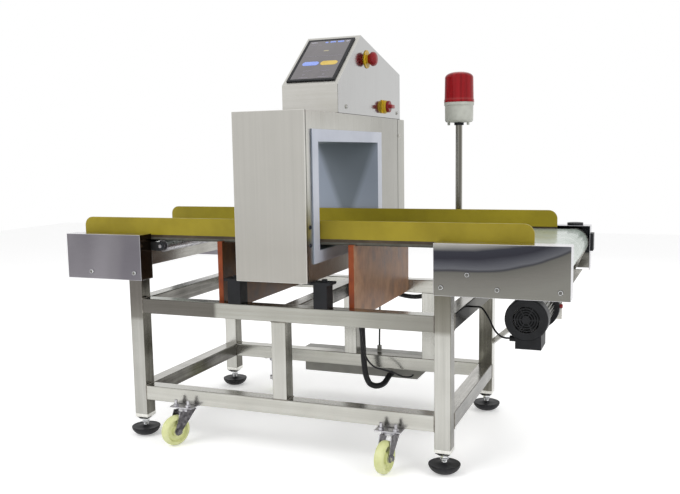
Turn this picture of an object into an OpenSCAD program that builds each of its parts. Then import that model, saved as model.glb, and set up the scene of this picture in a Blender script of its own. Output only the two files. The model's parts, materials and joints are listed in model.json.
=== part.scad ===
// Conveyor metal detector: belt conveyor on a welded tube frame with a tunnel
// search head, a sloped control box, a signal beacon and a chain drive.
// Measured from the frame's front left outer corner, X along the belt, Z up.
// The finished part is placed with its origin at the front left foot's sole.

/* [Frame] */
// Frame length over the legs
frame_len = 1112; // [1060:1:1300]
// Square tube width
tube = 50; // [46:1:54]
// Tube wall
tube_wall = 2; // [1.5:0.5:3]
// Outer corner radius of the tubes
tube_round = 3; // [2.5:0.5:5]
// Height of the plugs' lower face
leg_foot_z = 68; // [64:1:76]
// Height of the legs' upper end
leg_top_z = 600; // [570:1:630]
// Underside of the lower rails
low_rail_z = 130; // [128:1:160]
// Underside of the upper rails
top_rail_z = 432; // [410:1:450]
// Distance of the second rear post's left face from the frame's right end
rear_post_in = 267; // [250:1:290]
// How far right of the middle posts the middle cross rail sits
cross_rail_right = 26; // [0:1:40]

/* [Feet] */
// Diameter of a foot pad
pad_d = 101; // [80:1:110]
// Height of a foot pad with its neck
pad_h = 45; // [40:1:47]
// Diameter of the pad's neck
neck_d = 30; // [26:1:36]
// Stud diameter
stud_d = 16; // [12:1:18]
// Locknut height
locknut_h = 10; // [8:1:11]
// Locknut width across corners
locknut_d = 27; // [25:1:34]
// Height of the plug's tapered collar
plug_lip = 10; // [6:1:14]
// Chamfer of the plug's collar
plug_chamfer = 7; // [4:1:9]
// Depth of the plug inside the tube
plug_deep = 22; // [15:1:30]

/* [Casters] */
// Distance of the left swivel axes from the frame's left end
caster_left = 208; // [190:1:240]
// Distance of the right swivel axes from the frame's right end
caster_right_in = 184; // [170:1:210]
// Distance of the swivel axes outside the frame's face
caster_out = 2; // [0:1:8]
// Wheel diameter
wheel_d = 100; // [90:1:102]
// Wheel width
wheel_w = 32; // [26:1:36]
// Gap between wheel and floor while the feet carry
wheel_lift = 2.5; // [1:0.5:8]
// Offset of the axle behind the swivel axis
trail = 45; // [36:1:48]
// Length of a top plate along the rail
top_plate_l = 84; // [78:1:96]
// Width of a top plate across the rail
top_plate_w = 72; // [66:1:84]
// Thickness of a top plate
top_plate_t = 3; // [2:0.5:4]
// Thickness of the fork's sheet
fork_t = 3; // [2:0.5:4]

/* [End plates] */
// Thickness of the folded end plates
sheet = 2; // [1.5:0.5:3]
// Lower edge of the end plates
plate_low_z = 543; // [520:1:560]
// Upper face of the end plates
plate_top_z = 697; // [694:0.5:700]
// Overhang of the infeed plates beyond the frame
infeed_over = 249; // [246:1:280]
// Overhang of the outfeed plates beyond the frame
outfeed_over = 335; // [332:1:368]
// Width of the upper lips
lip_w = 59; // [50:1:62]
// Width of the inner end flanges
flange_w = 68; // [66:1:69]

/* [Belt and bed] */
// Belt width
belt_w = 550; // [500:2:660]
// Distance between the belt's edge and the frame's outer face
belt_side = 71; // [70:1:90]
// Belt thickness
belt_t = 2; // [1.5:0.5:3]
// Height of the belt's upper face
belt_z = 686; // [684:0.5:688]
// Diameter of the end rollers
roller_d = 88; // [76:1:90]
// Distance of the end rollers' centres from the plates' outer ends
roller_in = 53; // [51:1:60]
// Diameter of the return rollers
return_d = 40; // [32:1:44]
// Centre of the infeed return roller
return_left_x = 90; // [84:1:100]
// Distance of the outfeed return roller from the frame's right end
return_right_in = 12; // [8:1:20]
// Diameter of the roller shafts
shaft_d = 20; // [16:1:24]
// Diameter of the return rollers' shafts
return_shaft_d = 12; // [10:1:14]
// Thickness of the bed board
board_t = 7; // [6:0.5:8]
// Distance of the bed board from the plates' outer ends
board_in = 104; // [103:1:130]
// Height of the guide rails
guide_h = 58; // [40:1:70]
// Thickness of the guide rails
guide_t = 8; // [6:1:8]
// Lower edge of the guide rails above the belt
guide_lift = 6.5; // [4:0.5:7]
// Distance of the guide rails from the infeed plates' outer ends
guide_infeed_in = 28; // [20:1:50]
// Distance of the guide rails from the outfeed plates' outer ends
guide_outfeed_in = 109; // [105:1:130]
// Radius of the guide rails' upper corners
guide_round = 30; // [15:1:34]
// Thickness of the support panels
panel_t = 18; // [15:1:20]
// Gap between the infeed support panel and the head
panel_left_gap = 96; // [80:1:110]
// Gap between the head and the outfeed support panel
panel_right_gap = 102; // [96:1:115]
// Lower edge of the support panels
panel_low_z = 440; // [438:1:450]

/* [Search head] */
// Length of the head along the belt
head_w = 244; // [236:1:250]
// How far left of the frame's middle the head sits
head_left = 3; // [0:1:8]
// How far the head's cover stands before the frame
head_front = 33; // [28:1:45]
// How far the head's rear cover reaches behind the frame
head_back = 297; // [270:1:320]
// Underside of the head
head_z0 = 564; // [560:1:568]
// Upper face of the head
head_z1 = 1090; // [1080:1:1110]
// Depth of the front cover
front_cover_dep = 9; // [7:1:12]
// Depth of the rear cover
rear_cover_dep = 89; // [70:1:100]
// Wall of the head's shell
head_wall = 3; // [2:0.5:4]
// Seam between the shell and its covers
seam = 0.6; // [0.4:0.1:0.9]
// Distance between the belt's edge and the tunnel's wall
tunnel_side = 11; // [10:1:14]
// Lower inner face of the tunnel
tunnel_z0 = 658; // [650:1:662]
// Upper inner face of the tunnel
tunnel_z1 = 995; // [960:1:1010]
// Wall of the tunnel liner
liner_t = 6; // [4:1:8]
// Width of the tunnel's flange beside its opening
flange_side = 46.5; // [40:0.5:50]
// Width of the tunnel's flange below and above its opening
flange_up = 39; // [34:1:44]
// How far the flange stands proud of the head
flange_t = 5.6; // [4:0.2:7]

/* [Head mounts] */
// Length of a post along the rail
post_l = 46; // [40:1:48]
// Gap between the left posts and the head
post_left_gap = 6; // [3:1:9]
// Gap between the head and the right posts
post_right_gap = 4; // [3:1:9]
// Thickness of the mounting feet
foot_plate_t = 8; // [6:1:10]
// Length of a mounting foot
foot_plate_l = 92; // [84:1:98]

/* [Control box] */
// Distance of the control box's left face from the head's
box_left_in = 44; // [36:1:50]
// Sheet of the control box
box_wall = 2.5; // [2:0.5:4]
// Depth of the control box over its base
box_dep = 688; // [670:1:700]
// Distance of the control box's rear from the head's
box_back_in = 58; // [50:1:70]
// Height of the front wall
box_front_h = 96; // [80:1:110]
// Depth of the slope
box_slope_dep = 231; // [220:1:250]
// Rise of the slope
box_slope_rise = 181; // [165:1:195]
// Height of the rear wall
box_back_h = 178; // [160:1:190]
// Width of the screen's bezel
bezel_w = 183; // [170:1:186]
// Length of the screen's bezel along the slope
bezel_l = 270; // [255:1:276]
// Thickness of the bezel
bezel_t = 5; // [4:0.5:8]
// Frame of the bezel around the glass
bezel_frame = 11; // [8:1:16]

/* [Switches] */
// Distance of the stop button from the box's front
stop_dy = 290; // [270:1:310]
// Height of the stop button above the head
stop_h = 200; // [180:1:210]
// Diameter of the stop button's yellow disc
stop_disc_d = 64; // [56:1:70]
// Diameter of the stop button's head
stop_head_d = 40; // [34:1:44]
// Travel of the stop button
stop_travel = 6; // [3:0.5:8]
// Protrusion of the stop button
stop_out = 40; // [36:1:46]
// Distance of the isolator from the box's front
isolator_dy = 476; // [450:1:500]
// Height of the isolator above the head
isolator_h = 41; // [36:1:60]
// Side of the isolator's yellow plate
isolator_plate = 50; // [46:1:60]
// Protrusion of the isolator's handle
isolator_out = 40; // [34:1:46]

/* [Beacon] */
// Distance of the pole's centre from the frame's right end
pole_in = 144; // [125:1:160]
// Pole diameter
pole_d = 25; // [20:1:28]
// Distance of the pole's centre behind the frame
pole_back = 28; // [24:1:34]
// Lower end of the pole
pole_z0 = 420; // [400:1:430]
// Upper end of the pole
pole_z1 = 1066; // [1000:1:1100]
// Diameter of the beacon's base
beacon_base_d = 98; // [90:1:104]
// Height of the beacon's base
beacon_base_h = 71; // [60:1:80]
// Diameter of the lens
lens_d = 110; // [106:1:116]
// Height of the lens
lens_h = 110; // [100:1:120]
// Wall of the lens
lens_wall = 3; // [2.5:0.5:4]

/* [Drive] */
// Distance of the motor's centre beyond the frame
motor_over = 193; // [186:1:198]
// Motor's centre above the floor
motor_z = 455; // [450:1:465]
// Front face of the fan cover
motor_y0 = 150; // [140:1:170]
// Diameter of the fan cover
cowl_d = 126; // [120:1:132]
// Length of the fan cover
cowl_l = 50; // [44:1:60]
// Wall of the fan cover
cowl_wall = 2.5; // [2:0.5:3]
// Diameter of the motor's body over its fins
motor_d = 112; // [104:1:116]
// Length of the motor's body
motor_l = 170; // [150:1:180]
// Length of the motor's black end ring
ring_l = 30; // [20:1:36]
// Outer size of the black end ring
ring_d = 144; // [130:1:150]
// Length of the gearbox
gearbox_l = 160; // [140:1:170]
// Diameter of the gearbox
gearbox_d = 110; // [100:1:116]
// Thickness of the motor's plate
motor_plate_t = 8; // [6:1:10]
// Pitch diameter of the sprockets
sprocket_d = 60; // [52:1:64]
// Width of the chain casing
casing_w = 36; // [32:1:38]

/* [Cable box] */
// Length of the cable box
tray_l = 512; // [490:1:530]
// How far the cable box reaches right of the head
tray_right = 177; // [150:1:181]
// Depth of the cable box
tray_dep = 53; // [50:1:70]
// Underside of the cable box
tray_z0 = 82; // [80:1:90]
// Height of the cable box
tray_h = 98; // [90:1:100]
// Chamfer of the box's lower right corner
tray_chamfer = 40; // [36:1:50]
// Diameter of the head's harness hose
harness_d = 22; // [18:1:24]
// Diameter of the beacon's conduit
conduit_d = 18; // [14:1:19]
// Diameter of the motor's lead
motor_lead_d = 6; // [5:0.5:8]
// Diameter of the sensor's lead
sensor_lead_d = 7; // [5:0.5:8]

/* [Hidden] */
$fn = 48;

// Overrun of every cut
cut = 1;
// Running clearance of a shaft in its bore, on the radius
fit = 0.05;
// Clearance of one solid slid inside another
slip = 0.1;
// Gap between round faces of pieces that move past each other
gap = 0.3;

// Places along the belt, from the frame's left end
caster_right = frame_len - caster_right_in;
mid_post_x = (frame_len - tube) / 2;
rear_post_x = frame_len - rear_post_in;
cross_rail_x = mid_post_x + cross_rail_right;
infeed_x = -infeed_over;
outfeed_x = frame_len + outfeed_over;
tail_x = infeed_x + roller_in;
drive_x = outfeed_x - roller_in;
return_right_x = frame_len - return_right_in;
board_x0 = infeed_x + board_in;
board_x1 = outfeed_x - board_in;
guide_x0 = infeed_x + guide_infeed_in;
guide_x1 = outfeed_x - guide_outfeed_in;
head_x0 = (frame_len - head_w) / 2 - head_left;
head_x1 = head_x0 + head_w;
panel_left_x = head_x0 - panel_left_gap - panel_t;
panel_right_x = head_x1 + panel_right_gap;
post_left_x = head_x0 - post_left_gap - post_l;
post_right_x = head_x1 + post_right_gap;
box_x0 = head_x0 + box_left_in;
pole_x = frame_len - pole_in;
motor_x = frame_len + motor_over;
tray_x1 = head_x1 + tray_right;
tray_x0 = tray_x1 - tray_l;

// Places across the belt, from the frame's front face
frame_dep = belt_w + 2 * belt_side;
belt_y0 = belt_side;
belt_y1 = belt_side + belt_w;
head_y0 = -head_front;
head_y1 = frame_dep + head_back;
tunnel_y0 = belt_y0 - tunnel_side;
tunnel_y1 = belt_y1 + tunnel_side;
box_back_y = head_y1 - box_back_in;
box_front_y = box_back_y - box_dep;

// Heights of the belt's runs
belt_outer_r = roller_d / 2 + gap + belt_t;
roller_z = belt_z - belt_outer_r;
board_z1 = belt_z - belt_t;
board_z0 = board_z1 - board_t;
return_gap = 1;
return_z1 = board_z0 - return_gap;
return_z0 = return_z1 - belt_t;
return_axis_z = return_z0 - gap - return_d / 2;

// Moves the model so that the front left foot's sole is the origin
module placed() {
    translate([-tube / 2, -tube / 2, 0]) children();
}

// Copies a piece to the far side of the belt's middle plane
module both_sides() {
    children();
    translate([0, frame_dep, 0]) mirror([0, 1, 0]) children();
}

// Rectangle with round corners, centred
module round_rect(w, h, r) {
    square([w - 2 * r, h], center = true);
    square([w, h - 2 * r], center = true);
    for (sx = [-1, 1], sy = [-1, 1])
        translate([sx * (w / 2 - r), sy * (h / 2 - r)]) circle(r);
}

// Cross-section of the square tube
module tube_section() {
    difference() {
        round_rect(tube, tube, tube_round);
        round_rect(tube - 2 * tube_wall, tube - 2 * tube_wall, tube_round - tube_wall);
    }
}

// Tubes along X, Y and Z from a lower corner
module bar_x(x0, x1, y, z) {
    translate([x0, y + tube / 2, z + tube / 2]) rotate([90, 0, 90])
        linear_extrude(x1 - x0) tube_section();
}
module bar_y(x, y0, y1, z) {
    translate([x + tube / 2, y1, z + tube / 2]) rotate([90, 0, 0])
        linear_extrude(y1 - y0) tube_section();
}
module bar_z(x, y, z0, z1) {
    translate([x + tube / 2, y + tube / 2, z0]) linear_extrude(z1 - z0) tube_section();
}

// Box between two corners
module block(a, b) {
    translate(a) cube(b - a);
}

// Disc with its axis along Y, from y0 to y1
module disc_y(x, z, d, y0, y1) {
    translate([x, y1, z]) rotate([90, 0, 0]) cylinder(d = d, h = y1 - y0);
}

// Disc with its axis along X, from x0 to x1
module disc_x(y, z, d, x0, x1) {
    translate([x0, y, z]) rotate([0, 90, 0]) cylinder(d = d, h = x1 - x0);
}

// Points of an arc from angle a0 to a1
function arc(c, r, a0, a1, n = 16) =
    [for (i = [0:n]) let (a = a0 + (a1 - a0) * i / n) c + r * [cos(a), sin(a)]];

// Closed outline moved inwards by w, for a counter-clockwise outline
function unit(v) = v / norm(v);
function inset(p, w) = [for (i = [0:len(p) - 1])
    let (a = p[(i + len(p) - 1) % len(p)], b = p[i], c = p[(i + 1) % len(p)],
        u = unit(b - a), v = unit(c - b), nu = [-u[1], u[0]], nv = [-v[1], v[0]])
    b + w * (nu + nv) / (1 + nu * nv)];

/* Frame */
leg_xs = [0, frame_len - tube];
leg_ys = [0, frame_dep - tube];
tube_end_z = leg_foot_z + plug_lip;

module at_legs() {
    for (x = leg_xs, y = leg_ys) translate([x, y, 0]) children();
}

module frame_legs() {
    color("silver") at_legs() {
        bar_z(0, 0, tube_end_z, leg_top_z - tube_wall);
        translate([tube / 2, tube / 2, leg_top_z - tube_wall])
            linear_extrude(tube_wall) round_rect(tube, tube, tube_round);
    }
}

module long_rails(y) {
    bar_x(tube, frame_len - tube, y, low_rail_z);
    bar_x(tube, frame_len - tube, y, top_rail_z);
    bar_z(mid_post_x, y, low_rail_z + tube, top_rail_z);
}

module front_rails() {
    color("silver") long_rails(0);
}

module rear_rails() {
    color("silver") {
        long_rails(frame_dep - tube);
        bar_z(rear_post_x, frame_dep - tube, low_rail_z + tube, top_rail_z);
    }
}

module cross_rails() {
    color("silver") {
        for (x = leg_xs, z = [low_rail_z, top_rail_z]) bar_y(x, tube, frame_dep - tube, z);
        bar_y(cross_rail_x, tube, frame_dep - tube, top_rail_z);
    }
}

/* Levelling feet */
module plug_side() {
    c = plug_chamfer;
    h = tube / 2;
    polygon([[c - h, 0], [h - c, 0], [h, c], [h, plug_lip], [-h, plug_lip], [-h, c]]);
}

module leg_plug() {
    spigot = tube - 2 * tube_wall - 2 * slip;
    difference() {
        union() {
            intersection() {
                translate([0, tube / 2, 0]) rotate([90, 0, 0])
                    linear_extrude(tube) plug_side();
                translate([-tube / 2, 0, 0]) rotate([90, 0, 90])
                    linear_extrude(tube) plug_side();
                linear_extrude(plug_lip) round_rect(tube, tube, tube_round);
            }
            translate([0, 0, plug_lip]) linear_extrude(plug_deep)
                round_rect(spigot, spigot, tube_round - tube_wall);
        }
        translate([0, 0, -cut]) cylinder(d = stud_d + 2 * slip, h = plug_lip + plug_deep + 2 * cut);
    }
}

module locknut() {
    difference() {
        cylinder(d = locknut_d, h = locknut_h, $fn = 6);
        translate([0, 0, -cut]) cylinder(d = stud_d + 2 * slip, h = locknut_h + 2 * cut);
    }
}

module leg_plugs() {
    at_legs() translate([tube / 2, tube / 2, leg_foot_z]) {
        color("gray") leg_plug();
        color("silver") translate([0, 0, -locknut_h]) locknut();
    }
}

pad_rim_h = 7;
pad_edge = 2;
neck_h = 14;
// How the pad's flank draws in and how it rises
flank_in = 1.7;
flank_rise = 1.35;
stud_top_z = leg_foot_z + plug_lip + plug_deep + stud_d;

// Dish-shaped pad: a rim, a hollow flank and an upright neck
module foot_pad() {
    r = pad_d / 2;
    n = neck_d / 2;
    z1 = pad_h - neck_h;
    flank = [for (i = [0:10]) let (t = i / 10)
        [n + (r - n) * pow(1 - t, flank_in), pad_rim_h + (z1 - pad_rim_h) * pow(t, flank_rise)]];
    rotate_extrude() polygon(concat([[0, 0], [r - pad_edge, 0], [r, pad_edge]], flank,
        [[n, pad_h - pad_edge], [n - pad_edge, pad_h], [0, pad_h]]));
}

module foot(ix, iy) {
    translate([leg_xs[ix] + tube / 2, leg_ys[iy] + tube / 2, 0]) {
        color("#26262a") foot_pad();
        color("silver") translate([0, 0, pad_h]) cylinder(d = stud_d, h = stud_top_z - pad_h);
    }
}

/* Casters: swivel axes, and the way each wheel stands at rest */
caster_low_y = -caster_out;
caster_high_y = frame_dep + caster_out;
top_plate_z = low_rail_z - top_plate_t;
race_d = 58;
race_h = 6;
race_gap = 0.4;
king_d = 12;
crown_z1 = top_plate_z - race_h - race_gap;
crown_h = 7;
axle_z = wheel_d / 2 + wheel_lift;
axle_d = 12;
wheel_side_gap = 2;
caster_bolt_d = 10;
caster_bolt_out = 14;
caster_bolt_nut = 8;
caster_bolt_nut_d = 19;
caster_bolt_dx = 23;
caster_bolt_dy = 25;
angle_front_left = -25;
angle_front_right = -8;
angle_rear_left = 27;
angle_rear_right = 10;

module caster_mount(side) {
    union() {
        translate([-top_plate_l / 2, -top_plate_w / 2, top_plate_z])
            cube([top_plate_l, top_plate_w, top_plate_t]);
        translate([0, 0, top_plate_z - race_h]) cylinder(d = race_d, h = race_h);
        translate([0, 0, crown_z1 - crown_h - 2 * race_gap])
            cylinder(d = king_d, h = top_plate_z - crown_z1 + crown_h);
        translate([0, 0, crown_z1 - crown_h - race_gap - caster_bolt_nut])
            cylinder(d = caster_bolt_nut_d, h = caster_bolt_nut, $fn = 6);
    }
    for (sx = [-1, 1]) {
        translate([sx * caster_bolt_dx, side * caster_bolt_dy, low_rail_z]) {
            cylinder(d = caster_bolt_nut_d, h = caster_bolt_nut, $fn = 6);
            translate([0, 0, caster_bolt_nut]) cylinder(d = caster_bolt_d, h = caster_bolt_out);
        }
        translate([sx * (race_d / 2 + caster_bolt_d / 2), -side * caster_bolt_dy,
                top_plate_z - caster_bolt_nut / 2])
            cylinder(d = caster_bolt_nut_d, h = caster_bolt_nut / 2, $fn = 6);
    }
}

module caster_mounts() {
    color("silver") for (x = [caster_left, caster_right]) {
        translate([x, caster_low_y, 0]) caster_mount(-1);
        translate([x, caster_high_y, 0]) caster_mount(1);
    }
}

// Side cheek of a fork, seen along the axle: wide at the crown, round at the axle
cheek_top = 26;
cheek_shift = trail / 4;
cheek_boss_r = 14;
module cheek() {
    z0 = axle_z;
    z1 = crown_z1 - crown_h + fork_t;
    polygon([[-cheek_top - cheek_shift, z1], [-trail - cheek_boss_r, z0],
        [-trail, z0 - cheek_boss_r / 2], [-trail + cheek_boss_r, z0],
        [cheek_top - cheek_shift, z1 - cheek_top / 2], [cheek_top, z1]]);
    translate([-trail, z0]) circle(cheek_boss_r);
}

module fork() {
    half = wheel_w / 2 + wheel_side_gap;
    crown_z0 = crown_z1 - crown_h;
    difference() {
        union() {
            for (s = [0, 1]) translate([s ? half : -half - fork_t, 0, 0])
                rotate([90, 0, 90]) linear_extrude(fork_t) cheek();
            translate([0, 0, crown_z0]) cylinder(d = race_d, h = crown_h);
            block([-half - fork_t, -cheek_top, crown_z0], [half + fork_t, cheek_top, crown_z0 + fork_t]);
        }
        translate([0, 0, crown_z0 - cut])
            cylinder(d = king_d + 2 * slip, h = crown_h + 2 * cut);
    }
    translate([-half, -trail, axle_z]) rotate([0, 90, 0])
        cylinder(d = axle_d, h = 2 * half);
    for (s = [-1, 1]) translate([s > 0 ? half + fork_t : -half - fork_t - caster_bolt_nut, -trail, axle_z])
        rotate([0, 90, 0]) cylinder(d = caster_bolt_nut_d, h = caster_bolt_nut, $fn = 6);
}

// Half of the wheel's profile: bore, hub, recessed web, rounded tread
hub_d = 34;
web_t = 12;
rim_in_d = 70;
tread_round = 12;
module wheel() {
    r = wheel_d / 2;
    w = wheel_w / 2;
    b = axle_d / 2 + slip;
    side = concat([[b, w], [hub_d / 2, w], [hub_d / 2 + pad_edge, web_t / 2],
        [rim_in_d / 2 - pad_edge, web_t / 2], [rim_in_d / 2 + pad_edge, w - pad_edge]],
        arc([r - tread_round, w - tread_round], tread_round, 90, 0, 8));
    mirrored = [for (i = [len(side) - 1:-1:0]) [side[i][0], -side[i][1]]];
    translate([0, -trail, axle_z]) rotate([0, 90, 0])
        rotate_extrude() polygon(concat(side, mirrored));
}

module at_caster(x, y, a) {
    translate([x, y, 0]) rotate([0, 0, a]) children();
}

/* End plates */
module end_plate(x0, x1, leg_side) {
    block([x0, -sheet, plate_low_z], [x1, 0, plate_top_z]);
    block([x0, -sheet, plate_top_z - sheet], [x1, lip_w - sheet, plate_top_z]);
    outer = leg_side > 0 ? x0 : x1 - sheet;
    inner = leg_side > 0 ? x1 - sheet : x0;
    block([outer, -sheet, plate_low_z], [outer + sheet, lip_w - sheet, plate_top_z]);
    block([inner, -sheet, plate_low_z], [inner + sheet, flange_w - sheet, plate_top_z]);
}

infeed_end = tube + sheet;
outfeed_end = frame_len - tube - sheet;

module infeed_side_plates() {
    color("#b8b6b0") both_sides() end_plate(infeed_x, infeed_end, 1);
}

module outfeed_side_plates() {
    color("#b8b6b0") both_sides() end_plate(outfeed_end, outfeed_x, -1);
}

screw_head_d = 14;
screw_head_h = 4;
washer_d = 20;
washer_t = 1.5;
// Distances of the screws from the plates' ends and above their lower edges
screw_end_in = 27;
screw_leg_in = 23;
screw_second_in = 100;
screw_third_in = 186;
screw_up = 25;
screw_high_up = 65;
module plate_screw(x, z) {
    disc_y(x, z, washer_d, -sheet - washer_t, -sheet);
    disc_y(x, z, screw_head_d, -sheet - washer_t - screw_head_h, -sheet - washer_t);
}

// Rubber-capped adjuster on the far outfeed lip and the black bearing cover at its end
adjuster_d = 54;
adjuster_h = 8;
end_cover_h = 60;
end_cover_t = 10;
end_cover_w = 53;
module plate_screws() {
    color("dimgray") both_sides() {
        for (x = [infeed_x + screw_second_in, infeed_end - screw_end_in,
                outfeed_end + screw_leg_in, outfeed_end + screw_third_in,
                outfeed_x - screw_end_in])
            plate_screw(x, plate_low_z + screw_up);
        plate_screw(outfeed_end + screw_second_in, plate_low_z + screw_high_up);
    }
    color("#222226") {
        translate([drive_x, frame_dep + sheet - lip_w / 2, plate_top_z])
            cylinder(d = adjuster_d, h = adjuster_h);
        block([outfeed_x, frame_dep - sheet - end_cover_w, roller_z - end_cover_h / 2],
            [outfeed_x + end_cover_t, frame_dep - sheet, roller_z + end_cover_h / 2]);
    }
}

/* Belt, rollers and their bearings */
bearing_t = 22;
bearing_d = 56;
bearing_flange_t = 6;
bearing_flange = 84;
return_ear_t = 3;
return_ear_h = 30;
return_ear_y = flange_w - sheet - 2 * return_ear_t;

// Bearing unit on the inner face of an end plate: square flange and round boss
module bearing_unit(x) {
    difference() {
        union() {
            translate([x, bearing_flange_t, roller_z]) rotate([90, 0, 0])
                linear_extrude(bearing_flange_t)
                    round_rect(bearing_flange, bearing_flange, tread_round);
            disc_y(x, roller_z, bearing_d, bearing_flange_t, bearing_t);
        }
        disc_y(x, roller_z, shaft_d + 2 * fit, -cut, bearing_t + cut);
    }
}

// Ear that carries a return roller's shaft, standing on the end plate's flange
module return_ear(x, wall_x) {
    reach = abs(x - wall_x);
    s = sign(x - wall_x);
    difference() {
        union() {
            translate([s > 0 ? wall_x : x, return_ear_y, return_axis_z - return_ear_h / 2])
                cube([reach, return_ear_t, return_ear_h]);
            disc_y(x, return_axis_z, return_ear_h, return_ear_y, return_ear_y + return_ear_t);
        }
        disc_y(x, return_axis_z, return_shaft_d + 2 * fit, return_ear_y - cut,
            return_ear_y + return_ear_t + cut);
    }
}

module belt_bearings() {
    color("#45474a") both_sides() {
        bearing_unit(tail_x);
        bearing_unit(drive_x);
        return_ear(return_left_x, infeed_end);
        return_ear(return_right_x, outfeed_end + sheet);
    }
}

roller_inset = 5;
module roller(x, d, z, shaft, end_y) {
    disc_y(x, z, d, belt_y0 + roller_inset, belt_y1 - roller_inset);
    disc_y(x, z, shaft, end_y, belt_y0 + roller_inset);
    disc_y(x, z, shaft, belt_y1 - roller_inset, frame_dep - end_y);
}

shaft_end_y = 3;
// Distance of the chain casing from the belt's edge
casing_in = 13;
sprocket_y = belt_y1 + casing_in + casing_w / 2;
sprocket_t = 5;
tooth_n = 15;
tooth_h = 2.5;

// Sprocket with rounded tooth gaps, its bore closed on the shaft
module sprocket_teeth(x, z, bore) {
    translate([x, sprocket_y + sprocket_t / 2, z]) rotate([90, 0, 0])
        linear_extrude(sprocket_t) difference() {
            circle(sprocket_d / 2 + tooth_h);
            for (i = [0:tooth_n - 1]) rotate(i * 360 / tooth_n)
                translate([sprocket_d / 2 + tooth_h, 0]) circle(tooth_h + fit);
            circle(bore / 2);
        }
}

module drive_roller() {
    color("#55585a") union() {
        roller(drive_x, roller_d, roller_z, shaft_d, shaft_end_y);
        sprocket_teeth(drive_x, roller_z, shaft_d - fit);
    }
}

module tail_roller() {
    color("#a9abad") union() roller(tail_x, roller_d, roller_z, shaft_d, shaft_end_y);
}

// The return rollers' shafts stand this far out of their ears
shaft_proud = 3;
module return_roller(x) {
    color("#c0c2c4") union()
        roller(x, return_d, return_axis_z, return_shaft_d, return_ear_y - shaft_proud);
}

// Belt path: over the end rollers, then under the bed over the two return rollers
belt_mid_r = belt_outer_r - belt_t / 2;
wrap_r = return_d / 2 + gap + belt_t / 2;
slope_right = let (d = [drive_x - return_right_x, roller_z - return_axis_z])
    atan2(d[1], d[0]) - asin((belt_mid_r + wrap_r) / norm(d));
slope_left = let (d = [return_left_x - tail_x, roller_z - return_axis_z])
    atan2(d[1], d[0]) - asin((belt_mid_r + wrap_r) / norm(d));

function belt_line(off) = concat(
    arc([drive_x, roller_z], belt_mid_r + off, 90, slope_right - 90, 24),
    arc([return_right_x, return_axis_z], wrap_r - off, slope_right + 90, 90, 4),
    arc([return_left_x, return_axis_z], wrap_r - off, 90, 90 - slope_left, 4),
    arc([tail_x, roller_z], belt_mid_r + off, 270 - slope_left, 90, 24));

module conveyor_belt() {
    color("#b4bcb0") translate([0, belt_y1, 0]) rotate([90, 0, 0])
        linear_extrude(belt_w) difference() {
            polygon(belt_line(belt_t / 2));
            polygon(belt_line(-belt_t / 2));
        }
}

/* Bed */
board_y0 = flange_w - sheet;
board_y1 = frame_dep - board_y0;

module bed_board() {
    color("#8a3d1d") block([board_x0, board_y0, board_z0], [board_x1, board_y1, board_z1]);
}

cross_bar = 25;
infeed_bar_in = 189;
outfeed_bar_in = 207;
infeed_bar_x = infeed_x + infeed_bar_in;
outfeed_bar_x = outfeed_x - outfeed_bar_in;
channel_t = 12;
channel_z0 = 589;
channel_h = 51;
outfeed_channel_in = 80;
outfeed_channel_x = motor_x - outfeed_channel_in;
outfeed_channel_w = 40;
outfeed_channel_z = 555;
tongue_l = 40;
// Distances of the guide rails' tongues from the plates' and rails' ends
tongue_in = 40;
tongue_mid_in = 72;
tongue_far_in = 80;
tongue_t = 2.5;
guide_over = 3;
guide_y1 = belt_y0 + guide_over;
guide_y0 = guide_y1 - guide_t;
guide_z0 = belt_z + guide_lift;

module tongue(x) {
    block([x, lip_w / 2, plate_top_z - sheet - tongue_t],
        [x + tongue_l, guide_y0, plate_top_z - sheet]);
}

// Upright bracket that holds a support panel to the upper rail's inner face
bracket_t = 2;
bracket_w = 60;
module panel_bracket(x) {
    block([x - (bracket_w - panel_t) / 2, tube, top_rail_z + bracket_t],
        [x + (bracket_w + panel_t) / 2, tube + bracket_t, top_rail_z + tube - bracket_t]);
}

module bed_brackets() {
    color("#aaa9a4") {
        both_sides() {
            for (x = [infeed_x + tongue_in, infeed_end - tongue_mid_in,
                    outfeed_end + tongue_in, guide_x1 - tongue_far_in]) tongue(x);
            panel_bracket(panel_left_x);
            panel_bracket(panel_right_x);
        }
        for (x = [infeed_bar_x, outfeed_bar_x])
            block([x, 0, board_z0 - cross_bar], [x + cross_bar, frame_dep, board_z0]);
        block([tube - channel_t, tube, channel_z0],
            [tube, frame_dep - tube, channel_z0 + channel_h]);
        block([outfeed_channel_x, 0, outfeed_channel_z],
            [outfeed_channel_x + outfeed_channel_w, frame_dep, outfeed_channel_z + outfeed_channel_w]);
    }
}

module guide_outline() {
    w = guide_x1 - guide_x0;
    r = guide_round;
    polygon(concat([[0, 0], [w, 0]], arc([w - r, guide_h - r], r, 0, 90, 10),
        arc([r, guide_h - r], r, 90, 180, 10)));
}

module guide_rails() {
    color("#988b2f") both_sides() translate([guide_x0, guide_y1, guide_z0])
        rotate([90, 0, 0]) linear_extrude(guide_t) guide_outline();
}

// Panels on edge under the bed, their upper edge cut down for the returning belt
recess_side = 1;
recess_z = return_z0 - 2 * recess_side;
module support_panel(x) {
    difference() {
        block([x, tube + bracket_t, panel_low_z],
            [x + panel_t, frame_dep - tube - bracket_t, board_z0]);
        block([x - cut, belt_y0 - recess_side, recess_z],
            [x + panel_t + cut, belt_y1 + recess_side, board_z0 + cut]);
    }
}

module support_panels() {
    color("#9a4a22") {
        support_panel(panel_left_x);
        support_panel(panel_right_x);
    }
}

/* Search head */
shell_y0 = head_y0 + front_cover_dep + seam;
shell_y1 = head_y1 - rear_cover_dep - seam;
rail_top_z = top_rail_z + tube;

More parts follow.
